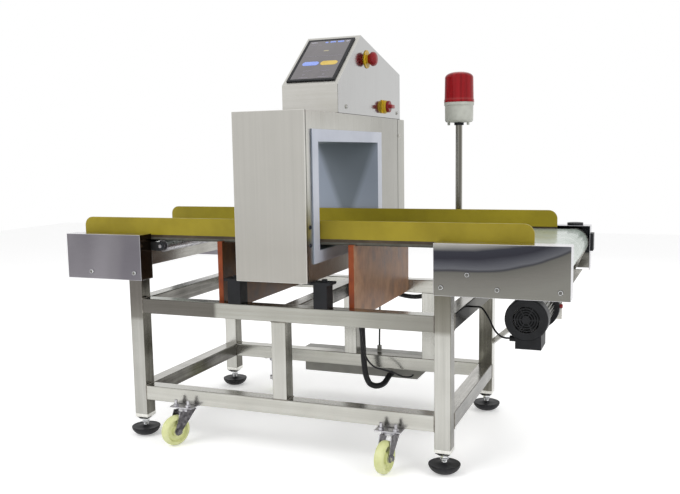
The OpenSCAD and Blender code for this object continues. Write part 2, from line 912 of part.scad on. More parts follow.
module head_posts() {
    color("#2a2b30") for (x = [post_left_x, post_right_x], y = leg_ys)
        block([x, y, rail_top_z], [x + post_l, y + tube, head_z0 - foot_plate_t]);
}

foot_bolt_d = 20;
foot_bolt_h = 8;
foot_inset = 13;
module head_foot(x, bolt_x) {
    translate([x, 0, head_z0 - foot_plate_t]) cube([foot_plate_l, tube, foot_plate_t]);
    translate([bolt_x, tube / 2, head_z0]) cylinder(d = foot_bolt_d, h = foot_bolt_h, $fn = 6);
}

module head_feet() {
    left_bolt = head_x0 - foot_bolt_d - foot_inset;
    right_bolt = head_x1 + foot_bolt_d + foot_inset;
    color("#2a2b30") for (y = leg_ys) translate([0, y, 0]) {
        head_foot(post_left_x - foot_inset, left_bolt);
        head_foot(post_right_x + post_l + foot_inset - foot_plate_l, right_bolt);
    }
}

module head_mounts() {
    head_posts();
    head_feet();
}

module head_shell() {
    w = head_wall;
    color("#bcbab4") difference() {
        block([head_x0, shell_y0, head_z0], [head_x1, shell_y1, head_z1]);
        block([head_x0 + w, shell_y0 - cut, head_z0 + w], [head_x1 - w, shell_y1 + cut, head_z1 - w]);
        block([head_x0 - cut, tunnel_y0 - liner_t, tunnel_z0 - liner_t],
            [head_x1 + cut, tunnel_y1 + liner_t, tunnel_z1 + liner_t]);
    }
}

// Shallow pan closing one end of the shell, with a lip that slides inside it
cover_lip = 8;
cover_screw_low = 115;
cover_screw_high = 171;
cover_screw_in = 66;
cover_screw_back = 20;
module cover(y_face, y_rim, y_lip) {
    w = head_wall;
    lip_in = w + slip;
    s = sign(y_rim - y_face);
    function span(a, b) = [min(a, b), max(a, b)];
    outer = span(y_face, y_rim);
    lip = span(y_face, y_lip);
    hollow = span(y_face + s * w, y_lip + s * cut);
    difference() {
        union() {
            block([head_x0, outer[0], head_z0], [head_x1, outer[1], head_z1]);
            block([head_x0 + lip_in, lip[0], head_z0 + lip_in],
                [head_x1 - lip_in, lip[1], head_z1 - lip_in]);
        }
        block([head_x0 + 2 * w, hollow[0], head_z0 + 2 * w], [head_x1 - 2 * w, hollow[1], head_z1 - 2 * w]);
    }
}

module head_covers() {
    front_rim = head_y0 + front_cover_dep;
    rear_rim = head_y1 - rear_cover_dep;
    color("#c6c6c0") {
        cover(head_y0, front_rim, front_rim + cover_lip);
        cover(head_y1, rear_rim, rear_rim - cover_lip);
    }
    color("#3b3c46") {
        for (z = [cover_screw_low, cover_screw_high])
            disc_x(head_y0 + front_cover_dep + cover_screw_back, head_z0 + z, screw_head_d,
                head_x1, head_x1 + screw_head_h);
        disc_x(head_y1 - rear_cover_dep + cover_screw_back, head_z1 - cover_screw_in, screw_head_d,
            head_x1, head_x1 + screw_head_h);
    }
}

// Plastic tunnel through the head, with a flange on both faces
module tunnel_liner() {
    y0 = tunnel_y0;
    y1 = tunnel_y1;
    z0 = tunnel_z0;
    z1 = tunnel_z1;
    t = liner_t - slip;
    color("#d0d3dc") difference() {
        union() {
            block([head_x0 - flange_t, y0 - t, z0 - t], [head_x1 + flange_t, y1 + t, z1 + t]);
            for (x = [head_x0 - flange_t, head_x1])
                block([x, y0 - flange_side, z0 - flange_up],
                    [x + flange_t, y1 + flange_side, z1 + flange_up]);
        }
        block([head_x0 - flange_t - cut, y0, z0], [head_x1 + flange_t + cut, y1, z1]);
    }
}

// One transmitting and two receiving windings round the tunnel
coil_w = 14;
coil_t = 10;
coil_pitch = 62;
coil_seat = 0.3;
module search_coils() {
    s = liner_t + coil_seat;
    xm = (head_x0 + head_x1) / 2;
    color("#b06a3a") for (i = [-1:1]) difference() {
        block([xm + i * coil_pitch - coil_w / 2, tunnel_y0 - s - coil_t, tunnel_z0 - s - coil_t],
            [xm + i * coil_pitch + coil_w / 2, tunnel_y1 + s + coil_t, tunnel_z1 + s + coil_t]);
        block([xm + i * coil_pitch - coil_w, tunnel_y0 - s, tunnel_z0 - s],
            [xm + i * coil_pitch + coil_w, tunnel_y1 + s, tunnel_z1 + s]);
    }
}

/* Control box */
box_x1 = head_x1;
apex_y = box_front_y + box_slope_dep;
slope_z = head_z1 + box_front_h;
slope_a = atan2(box_slope_rise, box_slope_dep);
slope_l = norm([box_slope_dep, box_slope_rise]);
box_side = [[box_front_y, head_z1], [box_back_y, head_z1], [box_back_y, head_z1 + box_back_h],
    [apex_y, slope_z + box_slope_rise], [box_front_y, slope_z]];

module extruded_side(points, x0, x1) {
    translate([x0, 0, 0]) rotate([90, 0, 90]) linear_extrude(x1 - x0) polygon(points);
}

box_screw_front_in = 80;
box_screw_rear_in = 40;
box_screw_up = 24;
module control_box() {
    color("#c6c6c0") difference() {
        extruded_side(box_side, box_x0, box_x1);
        extruded_side(inset(box_side, box_wall), box_x0 + box_wall, box_x1 - box_wall);
    }
    color("#3b3c46") for (y = [box_front_y + box_screw_front_in, box_back_y - box_screw_rear_in])
        disc_x(y, head_z1 + box_screw_up, screw_head_d, box_x1, box_x1 + screw_head_h);
}

// How far left of the slope's middle the bezel sits
bezel_left = 5.5;
// Axes of the slope: x across, y up the slope, z outwards
module on_slope() {
    translate([(box_x0 + box_x1) / 2, box_front_y, slope_z]) rotate([slope_a, 0, 0])
        translate([-bezel_w / 2 - bezel_left, (slope_l - bezel_l) / 2, 0]) children();
}

glass_t = 3;
glass_sink = 0.5;
module screen_bezel() {
    color("#2a2a2c") on_slope() difference() {
        cube([bezel_w, bezel_l, bezel_t]);
        translate([bezel_frame, bezel_frame, bezel_t - glass_t])
            cube([bezel_w - 2 * bezel_frame, bezel_l - 2 * bezel_frame, glass_t + cut]);
    }
}

module touch_screen() {
    color("#6b6668") on_slope()
        translate([bezel_frame + slip, bezel_frame + slip, bezel_t - glass_t])
            cube([bezel_w - 2 * bezel_frame - 2 * slip, bezel_l - 2 * bezel_frame - 2 * slip,
                glass_t - glass_sink]);
}

/* Switches on the right face of the box */
stop_y = box_front_y + stop_dy;
stop_z = head_z1 + stop_h;
disc_t = 3;
collar_d = 30;
collar_h = 14;
stem_d = 14;
module stop_base() {
    difference() {
        union() {
            disc_x(stop_y, stop_z, stop_disc_d, box_x1, box_x1 + disc_t);
            disc_x(stop_y, stop_z, collar_d, box_x1 + disc_t, box_x1 + collar_h);
        }
        disc_x(stop_y, stop_z, stem_d + 2 * fit, box_x1 + disc_t, box_x1 + collar_h + cut);
    }
}

// Mushroom head with a domed face, on its stem
module stop_button() {
    r = stop_head_d / 2;
    back = collar_h + stop_travel + slip;
    dome = 6;
    color("#b01018") translate([box_x1, stop_y, stop_z]) rotate([0, 90, 0]) rotate_extrude()
        polygon(concat([[0, disc_t + stop_travel + slip], [stem_d / 2, disc_t + stop_travel + slip],
            [stem_d / 2, back], [r - pad_edge, back], [r, back + pad_edge], [r, stop_out - dome]],
            [for (i = [1:8]) let (a = i * 90 / 8)
                [r * cos(a), stop_out - dome + dome * sin(a)]]));
}

isolator_y = box_front_y + isolator_dy;
isolator_z = head_z1 + isolator_h;
boss_d = 38;
boss_h = 8;
spindle_d = 8;
module isolator_base() {
    difference() {
        union() {
            translate([box_x1, isolator_y, isolator_z]) rotate([90, 0, 90])
                linear_extrude(disc_t) round_rect(isolator_plate, isolator_plate, disc_t);
            disc_x(isolator_y, isolator_z, boss_d, box_x1 + disc_t, box_x1 + boss_h);
        }
        disc_x(isolator_y, isolator_z, spindle_d + 2 * fit, box_x1 + disc_t, box_x1 + boss_h + cut);
    }
}

module switch_bases() {
    color("#e0b400") {
        stop_base();
        isolator_base();
    }
}

grip_w = 12;
grip_l = 40;
knob_d = 34;
knob_h = 14;
module isolator_handle() {
    x0 = box_x1 + boss_h + gap;
    color("#b01018") union() {
        disc_x(isolator_y, isolator_z, spindle_d, box_x1 + disc_t + gap, x0);
        disc_x(isolator_y, isolator_z, knob_d, x0, x0 + knob_h);
        translate([x0, isolator_y, isolator_z]) rotate([90, 0, 90])
            linear_extrude(isolator_out - boss_h - gap) round_rect(grip_w, grip_l, disc_t);
    }
}

/* Beacon */
pole_y = frame_dep + pole_back;
clamp_w = 44;
clamp_h = 36;
clamp_z = top_rail_z + disc_t;
pole_wall = 2;
module beacon_pole() {
    color("#b8b8b4") {
        difference() {
            union() {
                translate([pole_x, pole_y, pole_z0]) cylinder(d = pole_d, h = pole_z1 - pole_z0);
                block([pole_x - clamp_w / 2, frame_dep, clamp_z],
                    [pole_x + clamp_w / 2, pole_y, clamp_z + clamp_h]);
                translate([pole_x, pole_y, clamp_z]) cylinder(d = clamp_w, h = clamp_h);
            }
            translate([pole_x, pole_y, pole_z0 - cut])
                cylinder(d = pole_d - 2 * pole_wall, h = pole_z1 - pole_z0 + 2 * cut);
        }
    }
}

collar_ring_h = 8;
bulb_d = 22;
bulb_h = 48;
base_seat = 12;
collar_step = 3;
module beacon_base() {
    r = beacon_base_d / 2;
    z1 = pole_z1 + beacon_base_h;
    color("#b9bab2") translate([pole_x, pole_y, 0]) {
        rotate_extrude() polygon([[0, pole_z1], [r - base_seat, pole_z1],
            [r - base_seat / 2, pole_z1 + base_seat], [r, pole_z1 + 2 * base_seat],
            [r, z1 - collar_ring_h], [r - collar_step, z1 - collar_ring_h],
            [r - collar_step, z1], [0, z1]]);
        translate([0, 0, z1]) cylinder(d = bulb_d, h = bulb_h);
        translate([0, 0, z1 + bulb_h]) sphere(d = bulb_d);
    }
}

// Lens: a rim, a slightly narrowing wall and a squarish dome, hollow, fluted inside
rim_h = 12;
rim_out = 1.6;
rim_step = 3;
dome_h = 22;
// How much the lens narrows upwards, and how square its dome is
lens_taper = 1.5;
dome_square = 0.75;
lens_lip_in = 7;
lens_lip_t = 2.5;
flute_n = 24;
flute_d = 3;
flute_in = 0.9;
module beacon_lens() {
    z0 = pole_z1 + beacon_base_h;
    r = lens_d / 2 - rim_out;
    wall_h = lens_h - dome_h - rim_h;
    top = arc_dome(r - lens_taper, rim_h + wall_h, dome_h, 10);
    inside = [for (i = [10:-1:0]) [max(0, top[i][0] - lens_wall), top[i][1] - lens_wall]];
    lip = beacon_base_d / 2 - lens_lip_in;
    color("#a01520") translate([pole_x, pole_y, z0]) difference() {
        rotate_extrude() polygon(concat([[lip, 0], [lens_d / 2, 0],
            [lens_d / 2, rim_h - rim_step], [r, rim_h]], top, inside,
            [[r - lens_wall, lens_lip_t], [lip, lens_lip_t]]));
        for (i = [0:flute_n - 1]) rotate(i * 360 / flute_n)
            translate([r - lens_wall - flute_in, 0, rim_h]) cylinder(d = flute_d, h = wall_h);
    }
}
function arc_dome(r, z, h, n) = [for (i = [0:n]) let (a = i * 90 / n)
    [i == n ? 0 : r * pow(cos(a), dome_square), z + h * sin(a)]];

reflector_d = 78;
reflector_h = 56;
reflector_wall = 2;
// Half bowl that turns round the lamp
module beacon_reflector() {
    z0 = pole_z1 + beacon_base_h + gap;
    color("#c8c8cc") translate([pole_x, pole_y, z0]) difference() {
        cylinder(d = reflector_d, h = reflector_h);
        translate([0, 0, -cut]) cylinder(d = bulb_d + 2 * gap, h = 2 * disc_t);
        translate([0, 0, disc_t]) cylinder(d = reflector_d - 2 * reflector_wall, h = reflector_h);
        translate([-reflector_d, 0, disc_t]) cube([2 * reflector_d, reflector_d, reflector_h]);
    }
}

/* Gearmotor */
cowl_y1 = motor_y0 + cowl_l;
motor_y1 = cowl_y1 + motor_l;
ring_y1 = motor_y1 + ring_l;
gearbox_y1 = ring_y1 + gearbox_l;
motor_plate_y1 = gearbox_y1 + motor_plate_t;
fan_shaft_d = 14;
fan_shaft_l = 34;
fin_n = 28;
fin_h = 7;
fin_t = 3;
shield_t = 8;

module at_motor(y) {
    translate([motor_x, y, motor_z]) rotate([-90, 0, 0]) children();
}

// Finned motor body with its end shield and black end ring
module motor_body() {
    core = motor_d - 2 * fin_h;
    color("#b4b4b0") at_motor(cowl_y1) {
        difference() {
            union() {
                cylinder(d = cowl_d, h = shield_t);
                linear_extrude(motor_l) union() {
                    circle(d = core);
                    for (i = [0:fin_n - 1]) rotate((i + 1 / 2) * 360 / fin_n)
                        translate([core / 2 - fin_t, -fin_t / 2]) square([fin_h + fin_t, fin_t]);
                }
            }
            translate([0, 0, -cut]) cylinder(d = fan_shaft_d + 2 * fit, h = fan_shaft_l + cut);
        }
        color("#2a2b30") translate([0, 0, motor_l]) cylinder(d = ring_d, h = ring_l);
    }
}

out_shaft_d = 19;
gear_flange_d = 116;
gear_flange_t = 14;
module gearbox() {
    color("#9b9c9a") at_motor(ring_y1) difference() {
        union() {
            cylinder(d = gearbox_d, h = gearbox_l);
            translate([0, 0, gearbox_l - gear_flange_t])
                cylinder(d = gear_flange_d, h = gear_flange_t);
        }
        translate([0, 0, gearbox_l - fan_shaft_l])
            cylinder(d = out_shaft_d + 2 * fit, h = fan_shaft_l + cut);
    }
}

// Cover over the fan: ring slots and cross ribs in its face, closed round its wall
slot_n = 4;
slot_w = 4;
slot_gap = 3.5;
slot_hub = 18;
module fan_cover() {
    r = cowl_d / 2;
    w = cowl_wall;
    color("#26262a") at_motor(motor_y0) difference() {
        rotate_extrude() polygon(concat([[0, 0], [r - 2 * w, 0]],
            arc([r - 2 * w, 2 * w], 2 * w, -90, 0, 6),
            [[r, cowl_l], [r - w, cowl_l], [r - w, 2 * w], [r - 2 * w, w], [0, w]]));
        for (i = [0:slot_n - 1]) let (a = slot_hub / 2 + i * (slot_w + slot_gap) + slot_gap)
            translate([0, 0, -cut]) difference() {
                cylinder(r = a + slot_w, h = w + 2 * cut);
                translate([0, 0, -cut]) cylinder(r = a, h = w + 4 * cut);
                for (k = [0:2]) rotate(k * 60) translate([-r, -slot_gap / 2, -cut])
                    cube([2 * r, slot_gap, w + 4 * cut]);
            }
    }
}

// Fan on the motor's rear shaft end: hub and straight radial blades
blade_n = 8;
blade_w = 18;
fan_d = 106;
fan_hub_d = 30;
fan_hub_l = 24;
module motor_fan() {
    color("#3a3a3c") at_motor(motor_y0) translate([0, 0, cowl_l - fan_hub_l - gap]) union() {
        cylinder(d = fan_hub_d, h = fan_hub_l);
        for (i = [0:blade_n - 1]) rotate(i * 360 / blade_n)
            translate([0, -fin_t / 2, 0]) cube([fan_d / 2, fin_t, blade_w]);
        cylinder(d = fan_d - 2 * blade_w, h = fin_t);
        translate([0, 0, fan_hub_l]) cylinder(d = fan_shaft_d, h = gap + fan_shaft_l - fin_t);
    }
}

terminal_x0 = -32;
terminal_x1 = 45;
terminal_dy = 100;
terminal_z0 = 365;
terminal_h = 47;
gland_d = 18;
gland_l = 24;
gland_y = motor_y0 + terminal_dy / 2;
gland_z = terminal_z0 + 20;
module terminal_box() {
    color("#2a2b30") {
        difference() {
            block([motor_x + terminal_x0, motor_y0, terminal_z0],
                [motor_x + terminal_x1, motor_y0 + terminal_dy, terminal_z0 + terminal_h]);
            at_motor(motor_y0 - cut)
                cylinder(d = cowl_d + 2 * gap, h = cowl_l + shield_t + cut + gap);
            at_motor(cowl_y1) cylinder(d = motor_d + 2 * slip, h = motor_l);
        }
        disc_x(gland_y, gland_z, gland_d, motor_x + terminal_x0 - gland_l, motor_x + terminal_x0);
    }
}

// Upright plate that carries the gearbox from the outfeed cross channel, and the
// brace welded between its rear face and the rear right leg
plate_side = 75;
plate_right = 60;
plate_top_right = 125;
plate_slant_h = 107;
brace_w = 16;
brace_leg_in = 32;
brace_plate_in = 55;
brace_low_z = 262;
brace_high_z = 388;
brace_leg = [frame_len, frame_dep - brace_leg_in, brace_low_z];
brace_plate = [motor_x - brace_plate_in, motor_plate_y1, brace_high_z];
module motor_brace() {
    v = brace_plate - brace_leg;
    difference() {
        translate(brace_leg) rotate([0, acos(v[2] / norm(v)), atan2(v[1], v[0])])
            translate([-brace_w / 2, -brace_w / 2, -brace_w])
                cube([brace_w, brace_w, norm(v) + 2 * brace_w]);
        block(brace_leg - 2 * brace_w * [1, 1, 1],
            brace_leg + 2 * brace_w * [0, 1, 1]);
        block([brace_plate[0] - plate_side, gearbox_y1 - plate_side, brace_plate[2] - plate_side],
            [brace_plate[0] + plate_side, motor_plate_y1, brace_plate[2] + plate_side]);
    }
}
module motor_plate() {
    color("#9b9c9a") {
        difference() {
            translate([motor_x, motor_plate_y1, 0]) rotate([90, 0, 0])
                linear_extrude(motor_plate_t) polygon([[-plate_side, motor_z - plate_side],
                    [plate_right, motor_z - plate_side],
                    [plate_right, outfeed_channel_z - plate_slant_h],
                    [plate_top_right, outfeed_channel_z], [-plate_side, outfeed_channel_z]]);
            disc_y(motor_x, motor_z, out_shaft_d + 4 * gap, gearbox_y1 - cut, motor_plate_y1 + cut);
        }
        motor_brace();
    }
}

// Output shaft of the gearbox with its sprocket
module motor_sprocket() {
    color("#55585a") union() {
        disc_y(motor_x, motor_z, out_shaft_d, gearbox_y1 - fan_shaft_l + gap, sprocket_y + 2 * sprocket_t);
        sprocket_teeth(motor_x, motor_z, out_shaft_d - fit);
        disc_y(motor_x, motor_z, out_shaft_d + 2 * disc_t, sprocket_y - 2 * sprocket_t, sprocket_y);
    }
}

// Chain round both sprockets, as one band with the tops of its links scalloped
casing_v = [drive_x - motor_x, roller_z - motor_z];
chain_run = norm(casing_v);
chain_r0 = sprocket_d / 2 + tooth_h + gap;
chain_h = 6;
chain_w = 9;
// Links that a full turn round a sprocket takes
turn_links = 18;
chain_pitch = 2 * PI * (chain_r0 + chain_h / 2) / turn_links;
module band(r) {
    circle(r);
    rotate(atan2(casing_v[1], casing_v[0])) translate([0, -r]) square([chain_run, 2 * r]);
    translate(casing_v) circle(r);
}
module drive_chain() {
    n = floor(chain_run / chain_pitch);
    r = chain_r0 + chain_h;
    color("#3a3a3c") translate([motor_x, sprocket_y + chain_w / 2, motor_z]) rotate([90, 0, 0])
        linear_extrude(chain_w) difference() {
            band(r);
            band(chain_r0);
            rotate(atan2(casing_v[1], casing_v[0])) for (s = [-1, 1], i = [0:n - 1])
                translate([(i + 1 / 2) * chain_run / n, s * (r + chain_h / 2)]) circle(chain_h);
        }
}

// Chain casing: an obround box round both sprockets, open round the shafts
casing_y1 = sprocket_y + casing_w / 2;
casing_wall = 2;
casing_over = 17;
casing_r = sprocket_d / 2 + casing_over;
module chain_casing() {
    w = casing_wall;
    color("#aaa9a4") translate([motor_x, casing_y1, motor_z]) rotate([90, 0, 0]) difference() {
        linear_extrude(casing_w) band(casing_r);
        translate([0, 0, w]) linear_extrude(casing_w - 2 * w) band(casing_r - w);
        for (v = [[0, 0], casing_v]) translate([v[0], v[1], -cut])
            cylinder(d = shaft_d + 4 * gap + 2 * w, h = casing_w + 2 * cut);
    }
}

/* Cable box on the rear lower rail, with a gland for the supply lead on its top */
tray_wall = 2;
supply_in = 25;
supply_back = 28;
supply_gland_h = 20;
module cable_box() {
    y0 = frame_dep;
    y1 = frame_dep + tray_dep;
    z1 = tray_z0 + tray_h;
    side = [[tray_x0, tray_z0], [tray_x1 - tray_chamfer, tray_z0],
        [tray_x1, tray_z0 + tray_chamfer], [tray_x1, z1], [tray_x0, z1]];
    color("#8c8d8b") difference() {
        translate([0, y1, 0]) rotate([90, 0, 0]) linear_extrude(tray_dep) polygon(side);
        translate([0, y1 - tray_wall, 0]) rotate([90, 0, 0])
            linear_extrude(tray_dep - 2 * tray_wall) polygon(inset(side, tray_wall));
    }
    color("#2a2b30") translate([head_x1 - supply_in, frame_dep + supply_back, z1])
        cylinder(d = gland_d, h = supply_gland_h);
}

/* Cables: points are chosen by hand along each route */
// Smooth curve through the points of a route, n steps a span
function spline(p, i, t) = let (a = p[max(i - 1, 0)], b = p[i], c = p[i + 1],
    d = p[min(i + 2, len(p) - 1)])
    (2 * b + (c - a) * t + (2 * a - 5 * b + 4 * c - d) * t * t
        + (3 * b - a - 3 * c + d) * t * t * t) / 2;
function route(p, n) = [for (i = [0:len(p) - 2], k = [0:n - 1]) spline(p, i, k / n),
    p[len(p) - 1]];
function heading(q, i) = unit(q[min(i + 1, len(q) - 1)] - q[max(i - 1, 0)]);
function upright(q, i, u) = let (t = heading(q, i), v = u - (u * t) * t) unit(v);
function carried(q, u, i = 0) = i >= len(q) ? [] :
    let (v = upright(q, i, u)) concat([v], carried(q, v, i + 1));

module swept(points, d, n, steps = 3, up = [0, 1, 0]) {
    q = route(points, steps);
    us = carried(q, up);
    rings = [for (i = [0:len(q) - 1]) let (t = heading(q, i), u = us[i], v = cross(t, u))
        for (k = [0:n - 1]) q[i] + d / 2 * (cos(k * 360 / n) * u + sin(k * 360 / n) * v)];
    m = len(q);
    sides = [for (i = [0:m - 2], k = [0:n - 1])
        let (a = i * n + k, b = i * n + (k + 1) % n)
        each [[a, b, b + n], [a, b + n, a + n]]];
    polyhedron(rings, concat(sides, [[for (k = [n - 1:-1:0]) k]],
        [[for (k = [0:n - 1]) (m - 1) * n + k]]));
}

function moved(p, v) = [for (q = p) q + v];
head_corner = [head_x1, frame_dep, 0];
pole_foot = [pole_x, pole_y, 0];
frame_end = [frame_len, 0, 0];
supply_end_z = tray_z0 + tray_h + supply_gland_h;
supply_side = [-supply_in, supply_back];

harness_route = moved([[-43, -132, head_z0], [-43, -132, 542], [-43, -132, 520],
    [-43, -130, 420], [-41, -129, 340], [-39, -128, 260], [-36, -127, 180],
    [-30, -126, 125], [-17, -124, 90], [2, -118, 78], [19, -102, 76], [29, -78, 80],
    [33, -52, 91], [34, -28, 98], [34, -14, 98], [34, 0, 98]], head_corner);
conduit_route = concat(
    moved([[-35, 168, head_z0], [-35, 168, 548], [-35, 168, 530], [-33, 154, 490],
        [-23, 118, 455], [5, 73, 428], [45, 38, 412], [87, 20, 406]], head_corner),
    moved([[-162, -12, 405], [-122, -12, 414], [-86, -12, 434], [-66, -12, 446],
        [-48, -12, 453], [-34, -12, 453], [-clamp_w / 2, -12, 453]], pole_foot));
sensor_route = moved([[-25, -222, head_z0], [-25, -222, 548], [-25, -222, 530],
    [-24, -220, 440], [-22, -212, 350], [-18, -196, 270], [-10, -172, 200],
    [10, -144, 160], [37, -124, 146], [67, -102, 132], [97, -70, 110], [112, -40, 100],
    [120, -22, 98], [120, -10, 98], [120, 0, 98]], head_corner);
supply_route = moved([[-25, 43, head_z0], [-25, 43, 548], [-25, 43, 520], [-25, 40, 420],
    [-25, 36, 320], [-25, 30, 250],
    concat(supply_side, supply_end_z + supply_gland_h),
    concat(supply_side, supply_end_z + supply_gland_h / 2),
    concat(supply_side, supply_end_z)], head_corner);
motor_route = moved([[motor_over + terminal_x0 - gland_l, gland_y, gland_z],
    [131, gland_y, gland_z], [124, gland_y, gland_z], [106, 212, 387], [82, 240, 400],
    [56, 276, 430], [34, 298, 452], [20, 306, 457], [10, 306, 457], [0, 306, 457]],
    frame_end);

module harness_hose() {
    color("#222226") swept(harness_route, harness_d, 10);
}

module beacon_conduit() {
    color("#222226") swept(conduit_route, conduit_d, 10);
}

module box_leads() {
    color("#222226") {
        swept(sensor_route, sensor_lead_d, 8, 2);
        swept(supply_route, sensor_lead_d, 8, 2);
    }
}

module motor_lead() {
    color("#222226") swept(motor_route, motor_lead_d, 8);
}

placed() frame_legs();
placed() front_rails();
placed() rear_rails();
placed() cross_rails();
placed() leg_plugs();
placed() foot(0, 0);  // foot_front_left
placed() foot(1, 0);  // foot_front_right
placed() foot(0, 1);  // foot_rear_left
placed() foot(1, 1);  // foot_rear_right
placed() caster_mounts();
placed() color("silver")  // fork_front_left
    at_caster(caster_left, caster_low_y, angle_front_left) fork();
placed() color("silver")  // fork_front_right
    at_caster(caster_right, caster_low_y, angle_front_right) fork();
placed() color("silver")  // fork_rear_left
    at_caster(caster_left, caster_high_y, angle_rear_left) fork();
placed() color("silver")  // fork_rear_right
    at_caster(caster_right, caster_high_y, angle_rear_right) fork();
placed() color("#e0e4a8")  // wheel_front_left
    at_caster(caster_left, caster_low_y, angle_front_left) wheel();
placed() color("#e0e4a8")  // wheel_front_right
    at_caster(caster_right, caster_low_y, angle_front_right) wheel();
placed() color("#e0e4a8")  // wheel_rear_left
    at_caster(caster_left, caster_high_y, angle_rear_left) wheel();
placed() color("#e0e4a8")  // wheel_rear_right
    at_caster(caster_right, caster_high_y, angle_rear_right) wheel();
placed() infeed_side_plates();
placed() outfeed_side_plates();
placed() plate_screws();
placed() belt_bearings();
placed() drive_roller();
placed() tail_roller();
placed() return_roller(return_left_x);  // return_roller_infeed
placed() return_roller(return_right_x);  // return_roller_outfeed
placed() conveyor_belt();
placed() bed_board();
placed() bed_brackets();
placed() guide_rails();
placed() support_panels();
placed() head_mounts();
placed() head_shell();
placed() head_covers();
placed() tunnel_liner();
placed() search_coils();
placed() control_box();
placed() screen_bezel();
placed() touch_screen();
placed() switch_bases();
placed() stop_button();
placed() isolator_handle();
placed() beacon_pole();
placed() beacon_base();
placed() beacon_lens();
placed() beacon_reflector();
placed() motor_body();
placed() gearbox();
placed() motor_sprocket();
placed() drive_chain();
placed() fan_cover();
placed() motor_fan();
placed() terminal_box();
placed() motor_plate();
placed() chain_casing();
placed() cable_box();
placed() harness_hose();
placed() beacon_conduit();
placed() box_leads();
placed() motor_lead();
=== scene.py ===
"""Conveyor metal detector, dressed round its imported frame: finishes, rounded sheet edges, screws,
welds, screen, lens, cables, a plain floor, soft light and the photograph's camera."""
import json
import logging
import math
from collections.abc import Callable, Iterator
from contextlib import contextmanager
from dataclasses import dataclass
from enum import Enum

import bmesh
import bpy
from mathutils import Matrix, Vector


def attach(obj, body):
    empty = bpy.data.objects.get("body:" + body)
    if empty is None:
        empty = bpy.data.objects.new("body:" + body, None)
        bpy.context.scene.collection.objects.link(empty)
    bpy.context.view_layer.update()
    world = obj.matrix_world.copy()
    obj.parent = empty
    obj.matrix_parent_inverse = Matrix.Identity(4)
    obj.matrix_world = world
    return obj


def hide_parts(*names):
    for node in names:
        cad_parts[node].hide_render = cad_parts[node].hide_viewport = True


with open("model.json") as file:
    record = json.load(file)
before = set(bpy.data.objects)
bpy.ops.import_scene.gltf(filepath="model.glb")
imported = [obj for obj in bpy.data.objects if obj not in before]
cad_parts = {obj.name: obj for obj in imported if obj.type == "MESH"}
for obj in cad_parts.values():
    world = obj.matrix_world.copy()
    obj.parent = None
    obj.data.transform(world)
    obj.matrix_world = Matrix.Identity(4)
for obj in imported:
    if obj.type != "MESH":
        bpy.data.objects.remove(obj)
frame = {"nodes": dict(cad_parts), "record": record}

Piece = bpy.types.Object
Tree = bpy.types.NodeTree
Node = bpy.types.Node
Socket = bpy.types.NodeSocket
Point = tuple[float, float, float]
Stops = tuple[tuple[float, str], ...]

LOG = logging.getLogger("detector")
MM = 0.001
# The part's origin is the centre of the front left sole, half a tube inside the frame's corner
ORIGIN = Vector((25.0, 25.0, 0.0))
HERE = Vector((0.0, 0.0, 0.0))
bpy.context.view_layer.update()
MADE: dict[str, bpy.types.Material] = {}
# Turns a piece made along +Z so that it points along +X
ALONG_X = Matrix.Rotation(math.radians(90), 4, "Y")
# Edges that turn by less than this are shaded smooth and aren't rounded
SHARP_DEG = 35.0
# Corners nearer than this are one, and faces that turn by less than this are one
MERGE_MM, FLAT_DEG = 0.01, 0.4
# A face is turned to an axis where its normal's part along the axis is larger than this
TURNED = 0.7
# Most of a noise's factor lies between these
NOISE_LOW, NOISE_HIGH = 0.3, 0.7


class Axis(Enum):
    """A direction of the part, as the index of its coordinate."""

    X = 0
    Y = 1
    Z = 2


def linear(code: str) -> tuple[float, float, float, float]:
    """Turns an sRGB hex colour into linear light.

    Args:
        code: The colour as "#rrggbb".

    Returns:
        Red, green, blue and an alpha of 1.
    """
    parts = [int(code[i:i + 2], 16) / 255 for i in (1, 3, 5)]
    light = [p / 12.92 if p <= 0.04045 else ((p + 0.055) / 1.055) ** 2.4 for p in parts]
    return (*light, 1.0)


def place(x: float, y: float, z: float) -> Vector:
    """Turns millimetres from the frame's front left corner into the part's metres."""
    return (Vector((x, y, z)) - ORIGIN) * MM


def feed(tree: Tree, node: Node, inputs: dict) -> None:
    """Sets a node's inputs.

    Args:
        tree: The material's or world's node tree.
        node: The node.
        inputs: Socket name or number, with a value or an output socket to link.
    """
    for key, value in inputs.items():
        if isinstance(value, Socket):
            tree.links.new(value, node.inputs[key])
        else:
            node.inputs[key].default_value = value


def add(tree: Tree, kind: str, settings: dict | None = None,
        inputs: dict | None = None) -> Node:
    """Adds one node with its settings and its input values or links.

    Args:
        tree: The material's or world's node tree.
        kind: The node's type name.
        settings: Attributes of the node.
        inputs: Socket name or number, with a value or an output socket to link.

    Returns:
        The new node.
    """
    node = tree.nodes.new(kind)
    for key, value in (settings or {}).items():
        setattr(node, key, value)
    feed(tree, node, inputs or {})
    return node


def new_material(name: str) -> tuple[bpy.types.Material, Tree, Node]:
    """Makes a material that holds one Principled shader.

    Args:
        name: The finish's name.

    Returns:
        The material, its node tree and the shader node.
    """
    material = bpy.data.materials.new(name)
    material.use_nodes = True
    tree = material.node_tree
    return material, tree, tree.nodes["Principled BSDF"]


